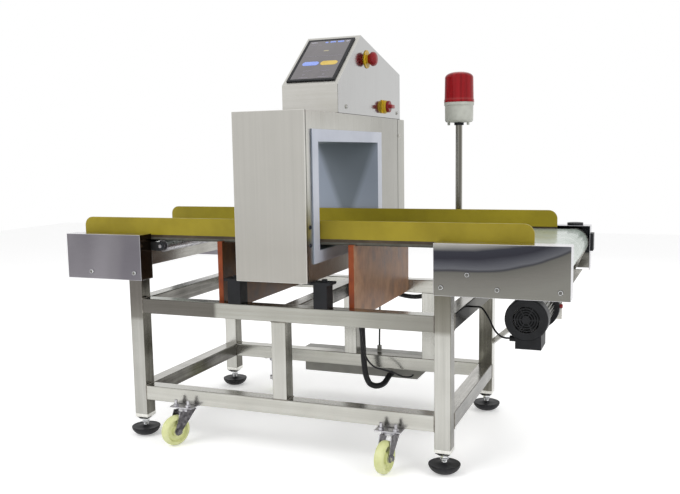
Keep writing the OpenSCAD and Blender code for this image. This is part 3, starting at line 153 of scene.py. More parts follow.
def object_noise(tree: Tree, size_mm: Point | float, detail: float, rough: float = 0.55) -> Socket:
    """Adds noise on Object coordinates whose grains have the given size along each axis.

    Args:
        tree: The material's node tree.
        size_mm: Grain size in millimetres, along X, Y and Z or for all three.
        detail: Octaves of the noise.
        rough: Weight of the finer octaves.

    Returns:
        The noise's factor socket.
    """
    where = add(tree, "ShaderNodeTexCoord").outputs["Object"]
    sizes = size_mm if isinstance(size_mm, tuple) else (size_mm,) * 3
    scale = tuple(1 / (s * MM) for s in sizes)
    mapped = add(tree, "ShaderNodeMapping", inputs={"Vector": where, "Scale": scale})
    noise = add(tree, "ShaderNodeTexNoise", inputs={
        "Vector": mapped.outputs["Vector"], "Scale": 1.0, "Detail": detail, "Roughness": rough})
    return noise.outputs["Fac"]


def tones(tree: Tree, factor: Socket, stops: Stops) -> Socket:
    """Adds a ramp of hex colours over a factor and returns its colour socket."""
    ramp = add(tree, "ShaderNodeValToRGB", inputs={"Fac": factor})
    points = ramp.color_ramp.elements
    while len(points) < len(stops):
        points.new(0.5)
    for point, (position, code) in zip(points, stops):
        point.position = position
        point.color = linear(code)
    return ramp.outputs["Color"]


def share(tree: Tree, axis: Axis, low_mm: float, high_mm: float, start: float = 0.0) -> Socket:
    """Tells how far a point lies between two places along an axis.

    Args:
        tree: The material's node tree.
        axis: The axis.
        low_mm: The place that counts as the start, in millimetres from the frame's corner.
        high_mm: The place that counts as 1.
        start: What the first place counts as.

    Returns:
        A socket that runs from start to 1.
    """
    where = add(tree, "ShaderNodeTexCoord").outputs["Object"]
    axes = add(tree, "ShaderNodeSeparateXYZ", inputs={0: where}).outputs
    low, high = ((mm - ORIGIN[axis.value]) * MM for mm in (low_mm, high_mm))
    return add(tree, "ShaderNodeMapRange", inputs={
        "Value": axes[axis.value], "From Min": low, "From Max": high,
        "To Min": start}).outputs["Result"]


def rub(tree: Tree, shader: Node, wear: Socket, roughness: tuple[float, float],
        relief: Socket | None = None, depth_mm: float = 0.0, strength: float = 1.0) -> None:
    """Varies a shader's roughness with one pattern and its relief with another.

    Args:
        tree: The material's node tree.
        shader: Its Principled shader.
        wear: The pattern of the roughness.
        roughness: The roughness at the pattern's low and high end.
        relief: The pattern of the relief, if the surface has one.
        depth_mm: Depth of the relief.
        strength: Share of the relief that shows.
    """
    rough = add(tree, "ShaderNodeMapRange", inputs={
        "Value": wear, "From Min": NOISE_LOW, "From Max": NOISE_HIGH,
        "To Min": roughness[0], "To Max": roughness[1]})
    feed(tree, shader, {"Roughness": rough.outputs["Result"]})
    if relief is not None:
        normal = add(tree, "ShaderNodeBump", inputs={
            "Height": relief, "Distance": depth_mm * MM, "Strength": strength})
        feed(tree, shader, {"Normal": normal.outputs["Normal"]})


def polish(tree: Tree, shader: Node, colour: Socket, roughness: float,
           hair_mm: Point = (80.0, 80.0, 0.7), wave_mm: float = 70.0) -> None:
    """Gives a shader a colour and a mirror polish with hairlines and slight waviness.

    Args:
        tree: The material's node tree.
        shader: Its Principled shader.
        colour: Its colour.
        roughness: The least roughness.
        hair_mm: Size of a hairline along each axis.
        wave_mm: Size of a wave.
    """
    hairs = object_noise(tree, hair_mm, 2.0)
    waves = object_noise(tree, wave_mm, 1.0)
    rub(tree, shader, hairs, (roughness, roughness + 0.1), waves, 0.5, 0.12)
    feed(tree, shader, {"Base Color": colour, "Metallic": 1.0})


@dataclass(frozen=True)
class Surface:
    """A finish, named for the real material and how its surface was made."""

    name: str

    def make(self) -> bpy.types.Material:
        """Builds the material."""
        material, tree, shader = new_material(self.name)
        self.lay(tree, shader)
        return material


@dataclass(frozen=True)
class GroundSteel(Surface):
    """Stainless sheet or tube ground with a belt: fine parallel scratches, soft streaks of tone.

    The eye sees grain along the sheet, and a sheen that widens across the grain. Real scratches
    are too fine for the picture and are drawn as wide as they need to show. The painted
    reflection and shade are an axis, two places along it from the frame's corner in millimetres
    and the tones between them, which are multiplied over the steel's own: painted reflections
    where the steel mirrors what stands beside it, and painted shade. The edge tint is the gloss
    at a low angle.
    """

    tone: str
    dark: str
    light: str
    grain: Axis = Axis.Z
    roughness: float = 0.2
    cloud_mm: float = 160.0
    painted_reflection_and_shade: tuple[Axis, float, float, Stops] | None = None
    edge_tint: str = "#ffffff"
    scratch_mm: float = 0.8
    scratch_long: float = 130.0
    streak_wide: float = 12.0
    streak_long: float = 3.0

    def lay(self, tree: Tree, shader: Node) -> None:
        """Wires the shader."""
        streak = [self.scratch_mm * self.streak_wide] * 3
        streak[self.grain.value] = self.cloud_mm * self.streak_long
        scratch = [self.scratch_mm] * 3
        scratch[self.grain.value] = self.scratch_mm * self.scratch_long
        clouds = object_noise(tree, self.cloud_mm, 3.0)
        streaks = object_noise(tree, tuple(streak), 3.0)
        scratches = object_noise(tree, tuple(scratch), 2.0)
        both = add(tree, "ShaderNodeMath", {"operation": "ADD"}, {0: clouds, 1: streaks}).outputs[0]
        half = add(tree, "ShaderNodeMath", {"operation": "MULTIPLY"}, {0: both, 1: 0.5}).outputs[0]
        colour = tones(tree, half, ((0.32, self.dark), (0.5, self.tone), (0.68, self.light)))
        # Painted reflection and shade: tones along an axis, multiplied over the steel's own
        if self.painted_reflection_and_shade:
            axis, low_mm, high_mm, stops = self.painted_reflection_and_shade
            shade = tones(tree, share(tree, axis, low_mm, high_mm), stops)
            colour = add(tree, "ShaderNodeMix", {"data_type": "RGBA", "blend_type": "MULTIPLY"},
                         {0: 1.0, 6: colour, 7: shade}).outputs[2]
        rub(tree, shader, scratches, (self.roughness - 0.03, self.roughness + 0.06),
            scratches, 0.02, 0.35)
        feed(tree, shader, {"Base Color": colour, "Metallic": 1.0,
                            "Specular Tint": linear(self.edge_tint)})


@dataclass(frozen=True)
class PolishedSteel(Surface):
    """Stainless sheet polished to a mirror: smoky tone, a few hairlines, slight waviness.

    The eye sees its surroundings in it; the smoky tone is painted reflection, a little darker in
    broad soft bands.
    """

    tone: str
    dark: str
    light: str
    painted_reflection_band_mm: Point = (150.0, 300.0, 420.0)
    roughness: float = 0.16

    def lay(self, tree: Tree, shader: Node) -> None:
        """Wires the shader."""
        # Broad soft bands of painted reflection
        bands = object_noise(tree, self.painted_reflection_band_mm, 2.0, 0.4)
        colour = tones(tree, bands, ((0.36, self.dark), (0.5, self.tone), (0.66, self.light)))
        polish(tree, shader, colour, self.roughness)


@dataclass(frozen=True)
class SweptMirror(Surface):
    """A mirror-polished plate with a painted reflection: one broad sweep of a dark room over a
    plain lower part.

    The eye sees an even grey-brown below a curved edge and smoky blue-grey bands over it, all
    painted reflection. The edge begins at a share of the plate's height and rises towards its
    right end.
    """

    start: float
    rise: float
    stops: Stops
    warp: float = 0.12
    left_mm: float = 1060.0
    right_mm: float = 1447.0
    low_mm: float = 543.0
    high_mm: float = 697.0
    wave_mm: Point = (140.0, 300.0, 70.0)
    roughness: float = 0.14

    def lay(self, tree: Tree, shader: Node) -> None:
        """Wires the shader."""
        # Painted reflection: a dark sweep whose curved edge rises towards the right
        along = share(tree, Axis.X, self.left_mm, self.right_mm)
        up = share(tree, Axis.Z, self.low_mm, self.high_mm)
        bend = add(tree, "ShaderNodeMath", {"operation": "POWER"}, {0: along, 1: 3.0}).outputs[0]
        edge = add(tree, "ShaderNodeMath", {"operation": "MULTIPLY_ADD"},
                   {0: bend, 1: -self.rise, 2: 0.5 - self.warp / 2 - self.start}).outputs[0]
        over = add(tree, "ShaderNodeMath", {"operation": "ADD"}, {0: up, 1: edge}).outputs[0]
        waves = object_noise(tree, self.wave_mm, 2.0, 0.4)
        factor = add(tree, "ShaderNodeMath", {"operation": "MULTIPLY_ADD"},
                     {0: waves, 1: self.warp, 2: over}).outputs[0]
        polish(tree, shader, tones(tree, factor, self.stops), self.roughness)


@dataclass(frozen=True)
class BareMetal(Surface):
    """Machined, pressed or cast metal: an even grain with slightly duller patches.

    The eye sees a satin gleam that fades and returns over small patches.
    """

    tone: str
    dark: str
    roughness: float = 0.4
    grain_mm: float = 1.2
    depth_mm: float = 0.05
    patch_mm: float = 18.0

    def lay(self, tree: Tree, shader: Node) -> None:
        """Wires the shader."""
        patches = object_noise(tree, self.patch_mm, 4.0)
        grain = object_noise(tree, self.grain_mm, 3.0)
        colour = tones(tree, patches, ((0.36, self.dark), (0.6, self.tone)))
        rub(tree, shader, patches, (self.roughness + 0.08, self.roughness - 0.06),
            grain, self.depth_mm, 0.5)
        feed(tree, shader, {"Base Color": colour, "Metallic": 1.0})


@dataclass(frozen=True)
class Moulded(Surface):
    """Moulded plastic, rubber or coat: a fine grain, faint cloudiness and dull rubbed places.

    The eye sees an even tone with a soft sheen, and on nylon a glow from within.
    """

    tone: str
    shade: str
    roughness: float = 0.45
    grain_mm: float = 0.8
    depth_mm: float = 0.04
    cloud_mm: float = 40.0
    coat: float = 0.0
    glow: float = 0.0
    gloss: float = 0.5
    glow_m: Point = (0.012, 0.012, 0.006)

    def lay(self, tree: Tree, shader: Node) -> None:
        """Wires the shader."""
        clouds = object_noise(tree, self.cloud_mm, 4.0)
        grain = object_noise(tree, self.grain_mm, 2.0)
        rub(tree, shader, clouds, (self.roughness + 0.06, self.roughness - 0.05),
            grain, self.depth_mm, 0.6)
        feed(tree, shader, {
            "Base Color": tones(tree, clouds, ((0.34, self.shade), (0.62, self.tone))),
            "Coat Weight": self.coat, "Subsurface Weight": self.glow,
            "Subsurface Radius": self.glow_m, "Specular IOR Level": self.gloss})


@dataclass(frozen=True)
class RibbedLens(Surface):
    """Clear red acrylic of a signal lamp: deep red with upright ribs, and the light they catch
    painted into its colour.

    The eye sees darker and brighter upright bands of painted light, a hard gloss, and a painted
    highlight: a pale gleam round the foot and the top rim.
    """

    low_mm: float
    high_mm: float
    tone: str = "#8c0b14"
    dark: str = "#790710"
    light: str = "#99131c"
    painted_highlight: str = "#cf8f8a"
    gleam: Stops = ((0.06, "#000000"), (0.1, "#606060"), (0.15, "#000000"), (0.9, "#000000"),
                    (0.97, "#a0a0a0"), (1.0, "#404040"))
    rib_mm: Point = (13.0, 13.0, 900.0)
    roughness: float = 0.12
    gloss: float = 0.2

    def lay(self, tree: Tree, shader: Node) -> None:
        """Wires the shader."""
        ribs = object_noise(tree, self.rib_mm, 1.0, 0.4)
        # Upright bands for the ribs, their light painted in
        red = tones(tree, ribs, ((0.36, self.dark), (0.5, self.tone), (0.68, self.light)))
        # Painted highlight round the foot and the top rim
        gleam = tones(tree, share(tree, Axis.Z, self.low_mm, self.high_mm), self.gleam)
        colour = add(tree, "ShaderNodeMix", {"data_type": "RGBA"}, {
            0: gleam, 6: red, 7: linear(self.painted_highlight)}).outputs[2]
        feed(tree, shader, {"Base Color": colour, "Roughness": self.roughness,
                            "Specular IOR Level": self.gloss})


@dataclass(frozen=True)
class ShadedWall(Surface):
    """Painted inner wall of a short tunnel, with painted shade that makes it darker in the middle
    of its top.

    The eye sees the roof's shade, painted into the colour, fall as a point down the wall, with
    pale blue sides.
    """

    left_mm: float
    right_mm: float
    low_mm: float
    high_mm: float
    light: str = "#a2aabb"
    shade: str = "#7e8691"
    roughness: float = 0.5

    def lay(self, tree: Tree, shader: Node) -> None:
        """Wires the shader."""
        # Painted shade: darkest in the middle of the top, falling to a point
        across = share(tree, Axis.X, self.left_mm, self.right_mm, -1.0)
        up = share(tree, Axis.Z, self.low_mm, self.high_mm)
        side = add(tree, "ShaderNodeMath", {"operation": "ABSOLUTE"}, {0: across}).outputs[0]
        inside = add(tree, "ShaderNodeMath", {"operation": "SUBTRACT"}, {0: up, 1: side}).outputs[0]
        factor = add(tree, "ShaderNodeMath", {"operation": "MULTIPLY_ADD"},
                     {0: inside, 1: 0.5, 2: 0.5}).outputs[0]
        colour = tones(tree, factor, ((0.44, self.light), (0.54, self.shade)))
        feed(tree, shader, {"Base Color": colour, "Roughness": self.roughness})


@dataclass(frozen=True)
class Laminate(Surface):
    """Phenolic board: resin-rich brown with fibre flecks, glossy faces and a paler sawn edge.

    The eye sees brown clouds and flecks under a thin gloss that the weave breaks up.
    """

    tone: str
    dark: str
    light: str
    roughness: float = 0.3
    fibre_mm: Point = (50.0, 50.0, 70.0)
    weave_mm: float = 1.6
    gloss: float = 0.3

    def lay(self, tree: Tree, shader: Node) -> None:
        """Wires the shader."""
        fibre = object_noise(tree, self.fibre_mm, 5.0, 0.6)
        weave = object_noise(tree, self.weave_mm, 2.0)
        colour = tones(tree, fibre, ((0.34, self.dark), (0.5, self.tone), (0.68, self.light)))
        rub(tree, shader, fibre, (self.roughness, self.roughness + 0.12), weave, 0.03, 0.4)
        feed(tree, shader, {"Base Color": colour, "Specular IOR Level": self.gloss})


@dataclass(frozen=True)
class DarkGlass(Surface):
    """Flat glass over a display: near-black grey with a clean gloss and a faint smear.

    The eye sees the light as one sheet, a little blurred where the glass was touched.
    """

    tone: str = "#625d60"
    shade: str = "#575255"
    smear_mm: Point = (45.0, 90.0, 90.0)
    roughness: tuple[float, float] = (0.08, 0.2)
    coat: float = 0.6

    def lay(self, tree: Tree, shader: Node) -> None:
        """Wires the shader."""
        smear = object_noise(tree, self.smear_mm, 3.0)
        rub(tree, shader, smear, self.roughness)
        feed(tree, shader, {"Base Color": tones(tree, smear, ((0.3, self.shade), (0.7, self.tone))),
                            "Coat Weight": self.coat})


UPRIGHT_TONES = ("#bbbab4", "#b1b0aa", "#c6c5c0")
LONG_TONES = ("#b9b8b1", "#aeada6", "#c4c3bd")
CROSS_TONES = ("#aeaca6", "#9a9892", "#c0beb8")


class Finish(Enum):
    """The finishes of the machine, each made once on first use."""

    # Tubes of the frame, with painted reflections: soft tones where they mirror what stands beside them
    TUBE_UPRIGHT = GroundSteel("ground_steel_upright", *UPRIGHT_TONES)
    TUBE_LONG = GroundSteel("ground_steel_long", *LONG_TONES, Axis.X)
    TUBE_CROSS = GroundSteel("ground_steel_cross", *CROSS_TONES, Axis.Y, cloud_mm=90.0)
    LEG_LEFT = GroundSteel("ground_steel_left_leg", *UPRIGHT_TONES, painted_reflection_and_shade=(Axis.Z, 0.0, 540.0, (
        (0.0, "#eeeeee"), (0.5, "#e7e7e7"), (0.75, "#d4d4d3"), (0.775, "#a09e9b"),
        (0.9, "#8e8a88"))))
    LEG_RIGHT = GroundSteel("ground_steel_right_leg", *UPRIGHT_TONES, painted_reflection_and_shade=(Axis.Z, 0.0, 540.0, (
        (0.7, "#fbfbfb"), (0.78, "#f0f0ef"), (0.81, "#b2b0aa"), (1.0, "#928f86"))))
    POST = GroundSteel("ground_steel_post", *UPRIGHT_TONES, painted_reflection_and_shade=(Axis.Z, 0.0, 540.0, (
        (0.33, "#ffffff"), (0.8, "#e1e1df"))))
    RAIL_UPPER = GroundSteel("ground_steel_upper_rail", *LONG_TONES, Axis.X, painted_reflection_and_shade=(
        Axis.X, 25.0, 1087.0, (
            (0.282, "#898684"), (0.294, "#d8d8d6"), (0.65, "#dcdcda"), (0.965, "#b5b4b1"))))
    RAIL_TOP = GroundSteel("ground_steel_rail_top", *LONG_TONES, Axis.X, painted_reflection_and_shade=(
        Axis.X, 25.0, 1087.0, (
            (0.36, "#f3f3f1"), (0.44, "#8f8d84"), (0.76, "#8f8d84"), (0.84, "#dbdad5"))))
    # Painted dark reflection on the upper right rail's outer face; its grey edge tint dims the gloss
    # there too
    CROSS_DARK = GroundSteel("ground_steel_cross_dark", *CROSS_TONES, Axis.Y, 0.12, painted_reflection_and_shade=(
        Axis.Y, 25.0, 642.0, (
            (0.0, "#a8a8a8"), (0.13, "#2a2a2a"), (0.34, "#2b2b2b"), (0.56, "#c8c8c5"))),
        edge_tint="#b0b0b0")
    # Darker copies of the tube steel: painted shade on faces turned to the right and on the rear right
    # leg's front
    CROSS_SHADE = GroundSteel("ground_steel_cross_shaded", "#6b6964", "#4d4b47", "#8b8984", Axis.Y,
                              cloud_mm=100.0)
    TUBE_SHADE = GroundSteel("ground_steel_shaded", "#6b6961", "#504e47", "#8b8981", cloud_mm=80.0)
    # Search head, control box and leg plugs
    # The head's sheet, darker towards its foot in painted shade
    SHEET = GroundSteel("ground_steel_sheet", "#bbb9b3", "#b6b4ae", "#c0beb8", roughness=0.36,
                        cloud_mm=260.0, painted_reflection_and_shade=(Axis.Z, 564.0, 1090.0, (
                            (0.18, "#eae9e8"), (0.5, "#f9f9f9"), (1.0, "#ffffff"))))
    # The head's right side: a lighter copy of the sheet in painted light, with painted shade along it
    SHEET_SIDE = GroundSteel("ground_steel_side", "#cdccc6", "#c7c6bf", "#d3d2cc", roughness=0.3,
                             cloud_mm=120.0, painted_reflection_and_shade=(Axis.Y, -33.0, 989.0, (
                                 (0.16, "#ffffff"), (0.68, "#cac9c6"), (0.85, "#cbcac8"),
                                 (1.0, "#dbdbd8"))))
    # A paler copy for rounded edges: a painted highlight
    SHEET_EDGE = GroundSteel("ground_steel_edge_painted_highlight", "#d6d5cf", "#d0cfc9", "#dddcd6", roughness=0.3)
    SHEET_BOX = GroundSteel("ground_steel_box", "#b5b5b4", "#b2b2b1", "#b9b9b8", roughness=0.12,
                            cloud_mm=200.0)
    # The box's front: a warmer, lighter copy of the box sheet in painted light
    BOX_FRONT = GroundSteel("ground_steel_box_front", "#c7c5bf", "#c2c0b9", "#cccac5", Axis.X, 0.3,
                            cloud_mm=120.0)
    PLUG = GroundSteel("ground_steel_plug", "#dddcd6", "#d2d1ca", "#e6e5e0", roughness=0.25,
                       cloud_mm=30.0)
    # End plates of the conveyor: painted reflections in the mirror steel, a painted highlight on the
    # lips and painted brown shade on the infeed flange
    MIRROR = PolishedSteel("mirror_steel", "#7d7a7f", "#716e74", "#88858a")
    MIRROR_EDGE = PolishedSteel("mirror_steel_lip_painted_highlight", "#cfced2", "#c3c2c6", "#dddce0")
    MIRROR_SHADE = PolishedSteel("mirror_steel_shaded", "#574636", "#453627", "#6b5946")
    MIRROR_OUT = SweptMirror("mirror_steel_outfeed", 0.48, 0.45, (
        (0.0, "#7c7b75"), (0.3, "#72706b"), (0.46, "#666560"), (0.5, "#434347"),
        (0.54, "#626368"), (0.64, "#505157"), (0.74, "#36363d"), (0.86, "#3b3c43"),
        (0.93, "#858481"), (1.0, "#aaa8a2")))
    MIRROR_FAR = SweptMirror("mirror_steel_far", 0.36, 0.0, (
        (0.0, "#8b8a84"), (0.46, "#6b6a64"), (0.5, "#2a2b2d"), (1.0, "#1f2123")), warp=0.02)
    # Casters, screws, castings and welds
    ZINC = BareMetal("bright_zinc_plate", "#c3c2c6", "#a3a2a6", 0.3, depth_mm=0.02)
    # A darker copy of the zinc: painted shade on the fork faces turned to the right
    ZINC_SHADE = BareMetal("shaded_zinc_plate", "#6f6d70", "#4d4b4e", 0.25, depth_mm=0.02)
    BRIGHT_SCREW = BareMetal("bright_screw", "#e2e3e4", "#c9cacc", 0.22, depth_mm=0.01)
    DARK_IRON = BareMetal("dark_iron_part", "#4c4e50", "#36383a", 0.45)
    CAST = BareMetal("cast_alloy_part", "#bdbcb9", "#9c9c98", 0.5, 1.6, 0.12)
    CHROME = BareMetal("metallised_reflector", "#d6d6da", "#c4c4c8", 0.12, 3.0, 0.01)
    BEAD = BareMetal("weld_bead", "#a39f96", "#7f7a74", 0.35, 2.2, 0.12)
    # Belt, guides and boards
    BELT = Moulded("pvc_belt_sheet", "#aeb9b0", "#a2aea4", 0.24, 1.4, 0.01, 120.0, coat=0.2)
    # Painted shade on the cut edges of the belt and bed board under the guide rails
    BELT_EDGE_SHADE = Moulded("pvc_belt_edge_painted_shade", "#55544a", "#403f37", 0.5)
    GUIDE = Moulded("olive_guide_bar", "#9a8a1e", "#8d7e18", 0.38, 1.2, 0.03, 90.0, gloss=0.35)
    LAM_FACE = Laminate("phenolic_face", "#56340f", "#43270a", "#68431a")
    LAM_PALE = Laminate("phenolic_pale_face", "#a06c42", "#7c4c28", "#b88a64")
    LAM_EDGE = Laminate("phenolic_edge", "#843a14", "#6f2f0f", "#954820")
    # Strips under the guides: phenolic, dark with painted shade
    SKIRT = Laminate("phenolic_strip_painted_shade", "#43382a", "#362c20", "#4f4434")
    # Coats, mouldings, glass, lens and cables
    BLACK_COAT = Moulded("black_powder_coat", "#1c1d20", "#161719", 0.5, 1.4, 0.06, gloss=0.25)
    BLACK_PLASTIC = Moulded("black_moulding", "#1e1f22", "#17181a", 0.45, 1.0, 0.05, gloss=0.25)
    FOOT = Moulded("foot_moulding", "#1f1f22", "#161618", 0.5, 1.4, 0.08, gloss=0.3)
    LINER = Moulded("tunnel_sheet", "#c6cad6", "#bbbfcc", 0.4, 1.5, 0.02, 150.0)
    # Darker copies of the liner: painted shade inside the tunnel, darkest under its roof
    LINER_IN = Moulded("tunnel_inside_painted_shade", "#949cab", "#868e9c", 0.45, 1.5, 0.02, 150.0)
    LINER_TOP = Moulded("tunnel_roof_painted_shade", "#767e88", "#6a727c", 0.5, 1.5, 0.02, 150.0)
    COIL = Moulded("varnished_winding", "#b06a3a", "#8e5029", 0.3)
    GLASS = DarkGlass("display_glass_sheet")
    YELLOW = Moulded("switch_yellow", "#d3ae1c", "#c09c14", 0.35, gloss=0.4)
    RED = Moulded("switch_red", "#931019", "#790b12", 0.3, gloss=0.35)
    BEACON_GREY = Moulded("beacon_moulding", "#bdbeb6", "#acada5", 0.45, 1.0, 0.04)
    # The lens carries painted light in its rib bands and a painted highlight round foot and rim
    LENS = RibbedLens("red_lens_moulding", 1137.0, 1247.0)
    # Painted shade falling as a point down the tunnel's far wall
    INNER = ShadedWall("tunnel_inner_wall_painted_shade", 425.0, 681.0, 690.0, 1034.0)
    # Upright streaks on the pole: painted reflections
    PIPE = PolishedSteel("polished_pipe", "#908e87", "#65635c", "#b5b3ad", (14.0, 14.0, 4000.0))
    GREY_COAT = Moulded("grey_enamel", "#a5a49f", "#989791", 0.42, 1.2, 0.05, 80.0, gloss=0.35)
    CABLE = Moulded("cable_jacket", "#1d1d21", "#151518", 0.42, 0.8, 0.04, 25.0, gloss=0.35)
    NYLON = Moulded("wheel_nylon", "#e3e6ae", "#d6da9a", 0.32, 1.2, 0.04, 22.0, glow=0.06)
    DARK_SCREW = Moulded("blackened_screw", "#34343a", "#26262b", 0.45, gloss=0.1)
    # Bars of the screen, dark joints, and painted shade in the screw sockets
    DISPLAY_BLUE = Moulded("display_blue", "#97abf0", "#8b9fe6", 0.3, gloss=0.2)
    DISPLAY_YELLOW = Moulded("display_yellow", "#dcc069", "#d2b45a", 0.3, gloss=0.2)
    DISPLAY_PALE = Moulded("display_pale", "#b0aeb8", "#a6a4ae", 0.3, gloss=0.2)
    DISPLAY_WARM = Moulded("display_warm", "#b9b29a", "#afa890", 0.3, gloss=0.2)
    DISPLAY_DIM = Moulded("display_dim", "#8c8891", "#86828b", 0.3, gloss=0.2)
    SEAM = Moulded("dark_seal", "#3a3733", "#2f2c29", 0.6, gloss=0.2)
    # A darker grey in the screw sockets: painted shade in the recess
    SOCKET = Moulded("screw_socket_painted_shade", "#85847f", "#73726e", 0.5, gloss=0.3)

    def material(self) -> bpy.types.Material:
        """Returns the finish's material, making it on first use."""
        if self.name not in MADE:
            MADE[self.name] = self.value.make()
        return MADE[self.name]


def activate(obj: Piece) -> None:
    """Selects one object alone and makes it active."""
    bpy.ops.object.select_all(action="DESELECT")
    obj.select_set(True)
    bpy.context.view_layer.objects.active = obj


def apply_modifier(obj: Piece, kind: str, settings: dict) -> None:
    """Adds a modifier with its settings and applies it.

    Args:
        obj: The piece.
        kind: The modifier's type.
        settings: Attributes of the modifier.
    """
    activate(obj)
    modifier = obj.modifiers.new(kind.lower(), kind)
    for key, value in settings.items():
        setattr(modifier, key, value)
    bpy.ops.object.modifier_apply(modifier=modifier.name)


def smooth(obj: Piece, degrees: float = SHARP_DEG) -> None:
    """Shades faces smooth where they meet at less than the angle."""
    activate(obj)
    bpy.ops.object.shade_smooth_by_angle(angle=math.radians(degrees))


def settle(obj: Piece) -> None:
    """Applies the object's own transform, so that its place is in its mesh."""
    activate(obj)
    bpy.ops.object.transform_apply(location=True, rotation=True, scale=True)


@contextmanager
def editing(obj: Piece) -> Iterator[None]:
    """Opens one object in edit mode with all of its mesh selected, and closes it afterwards."""
    activate(obj)
    bpy.ops.object.mode_set(mode="EDIT")
    bpy.ops.mesh.select_all(action="SELECT")
    yield
    bpy.ops.object.mode_set(mode="OBJECT")


def bevel(obj: Piece, width_mm: float, segments: int, degrees: float = 30.0, slot: int = -1) -> None:
    """Rounds the edges of a piece.

    Args:
        obj: The piece.
        width_mm: Radius of the rounded edges.
        segments: Steps of each rounded edge.
        degrees: Edges that turn by less than this stay sharp.
        slot: The material slot of the rounded edges, or -1 for that of the faces beside them.
    """
    apply_modifier(obj, "BEVEL", {
        "width": width_mm * MM, "segments": segments, "limit_method": "ANGLE",
        "angle_limit": math.radians(degrees), "material": slot})


def body_of_node(node: str) -> str:
    """Finds the body that carries a CAD node."""
    for body, nodes in frame["record"]["behaviour"]["bodies"].items():
        if node in nodes:
            return body
    raise KeyError(node)


def mount(obj: Piece, name: str, node: str, finish: Finish | None = None,
          stands_in: bool = True) -> Piece:
    """Names a finished piece, gives it the body of a CAD node and its finish where it has none, and
    reports it.

    Args:
        obj: The piece, at the origin.
        name: The piece's name.
        node: The CAD node that it belongs to.
        finish: Its finish, used where the piece has none yet.
        stands_in: True where the piece replaces the node, False where it is laid on it.

    Returns:
        The piece.
    """
    obj.name = name
    obj.data.name = name
    if not obj.data.materials:
        obj.data.materials.append(finish.material())
    body = body_of_node(node)
    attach(obj, body)
    if stands_in:
        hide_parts(node)
    LOG.info("%s rides on %s", name, body)
    return obj


def merged_copy(node: str) -> Piece:
    """Copies a CAD node's mesh and merges its loose triangles into clean faces.

    Args:
        node: The CAD node's name.

    Returns:
        A new object at the origin.
    """
    mesh = frame["nodes"][node].data.copy()
    mesh.materials.clear()
    obj = bpy.data.objects.new(node + "_skin", mesh)
    bpy.context.scene.collection.objects.link(obj)
    with editing(obj):
        bpy.ops.mesh.remove_doubles(threshold=MERGE_MM * MM)
        bpy.ops.mesh.dissolve_limited(angle_limit=math.radians(FLAT_DEG))
    return obj


def islands(mesh: bpy.types.Mesh) -> list[list[int]]:
    """Groups a mesh's faces into its separate solids.

    Args:
        mesh: The mesh.

    Returns:
        One list of face indices for each solid.
    """
    work = bmesh.new()
    work.from_mesh(mesh)
    seen: set[int] = set()
    groups = []
    for start in work.faces:
        if start.index in seen:
            continue
        seen.add(start.index)
        group, queue = [], [start]
        while queue:
            face = queue.pop()
            group.append(face.index)
            for edge in face.edges:
                for other in edge.link_faces:
                    if other.index not in seen:
                        seen.add(other.index)
                        queue.append(other)
        groups.append(group)
    work.free()
    return groups


Chooser = Callable[[Vector, Vector], Finish | None]


def corners(mesh: bpy.types.Mesh, group: list[int]) -> tuple[Vector, Vector]:
    """Finds the lowest and highest corner of some faces, in millimetres from the frame's corner."""
    points = [mesh.vertices[v].co / MM + ORIGIN for f in group for v in mesh.polygons[f].vertices]
    return (Vector([min(p[i] for p in points) for i in range(3)]),
            Vector([max(p[i] for p in points) for i in range(3)]))


def paint_solids(obj: Piece, choose: Chooser) -> None:
    """Gives each solid of a piece a finish by its lowest and highest corner, in millimetres.

    Args:
        obj: The piece.
        choose: Takes the solid's two corners, from the frame's corner, and returns its finish,
            or None where the solid is modelled anew and left out here.
    """
    mesh = obj.data
    used: dict[Finish, int] = {}
    left_out: set[int] = set()
    for group in islands(mesh):
        finish = choose(*corners(mesh, group))
        if finish is None:
            left_out.update(v for f in group for v in mesh.polygons[f].vertices)
            continue
        if finish not in used:
            used[finish] = len(used)
            mesh.materials.append(finish.material())
        for f in group:
            mesh.polygons[f].material_index = used[finish]
    work = bmesh.new()
    work.from_mesh(mesh)
    bmesh.ops.delete(work, geom=[v for v in work.verts if v.index in left_out], context="VERTS")
    work.to_mesh(mesh)
    work.free()


def solids(node: str) -> list[tuple[Vector, Vector]]:
    """Lists the lowest and highest corner of each solid of a CAD node, in millimetres."""
    obj = merged_copy(node)
    boxes = [corners(obj.data, group) for group in islands(obj.data)]
    bpy.data.objects.remove(obj, do_unlink=True)
    return boxes


def paint_faces(obj: Piece, choose: Chooser) -> None:
    """Gives each face of a piece a finish by its centre, in millimetres, and its normal.

    Args:
        obj: The piece.
        choose: Takes the centre, from the frame's corner, and the normal, and returns a finish.
    """
    mesh = obj.data
    mesh.materials.clear()
    used: dict[Finish, int] = {}
    for face in mesh.polygons:
        finish = choose(face.center / MM + ORIGIN, face.normal)
        if finish not in used:
            used[finish] = len(used)
            mesh.materials.append(finish.material())
        face.material_index = used[finish]


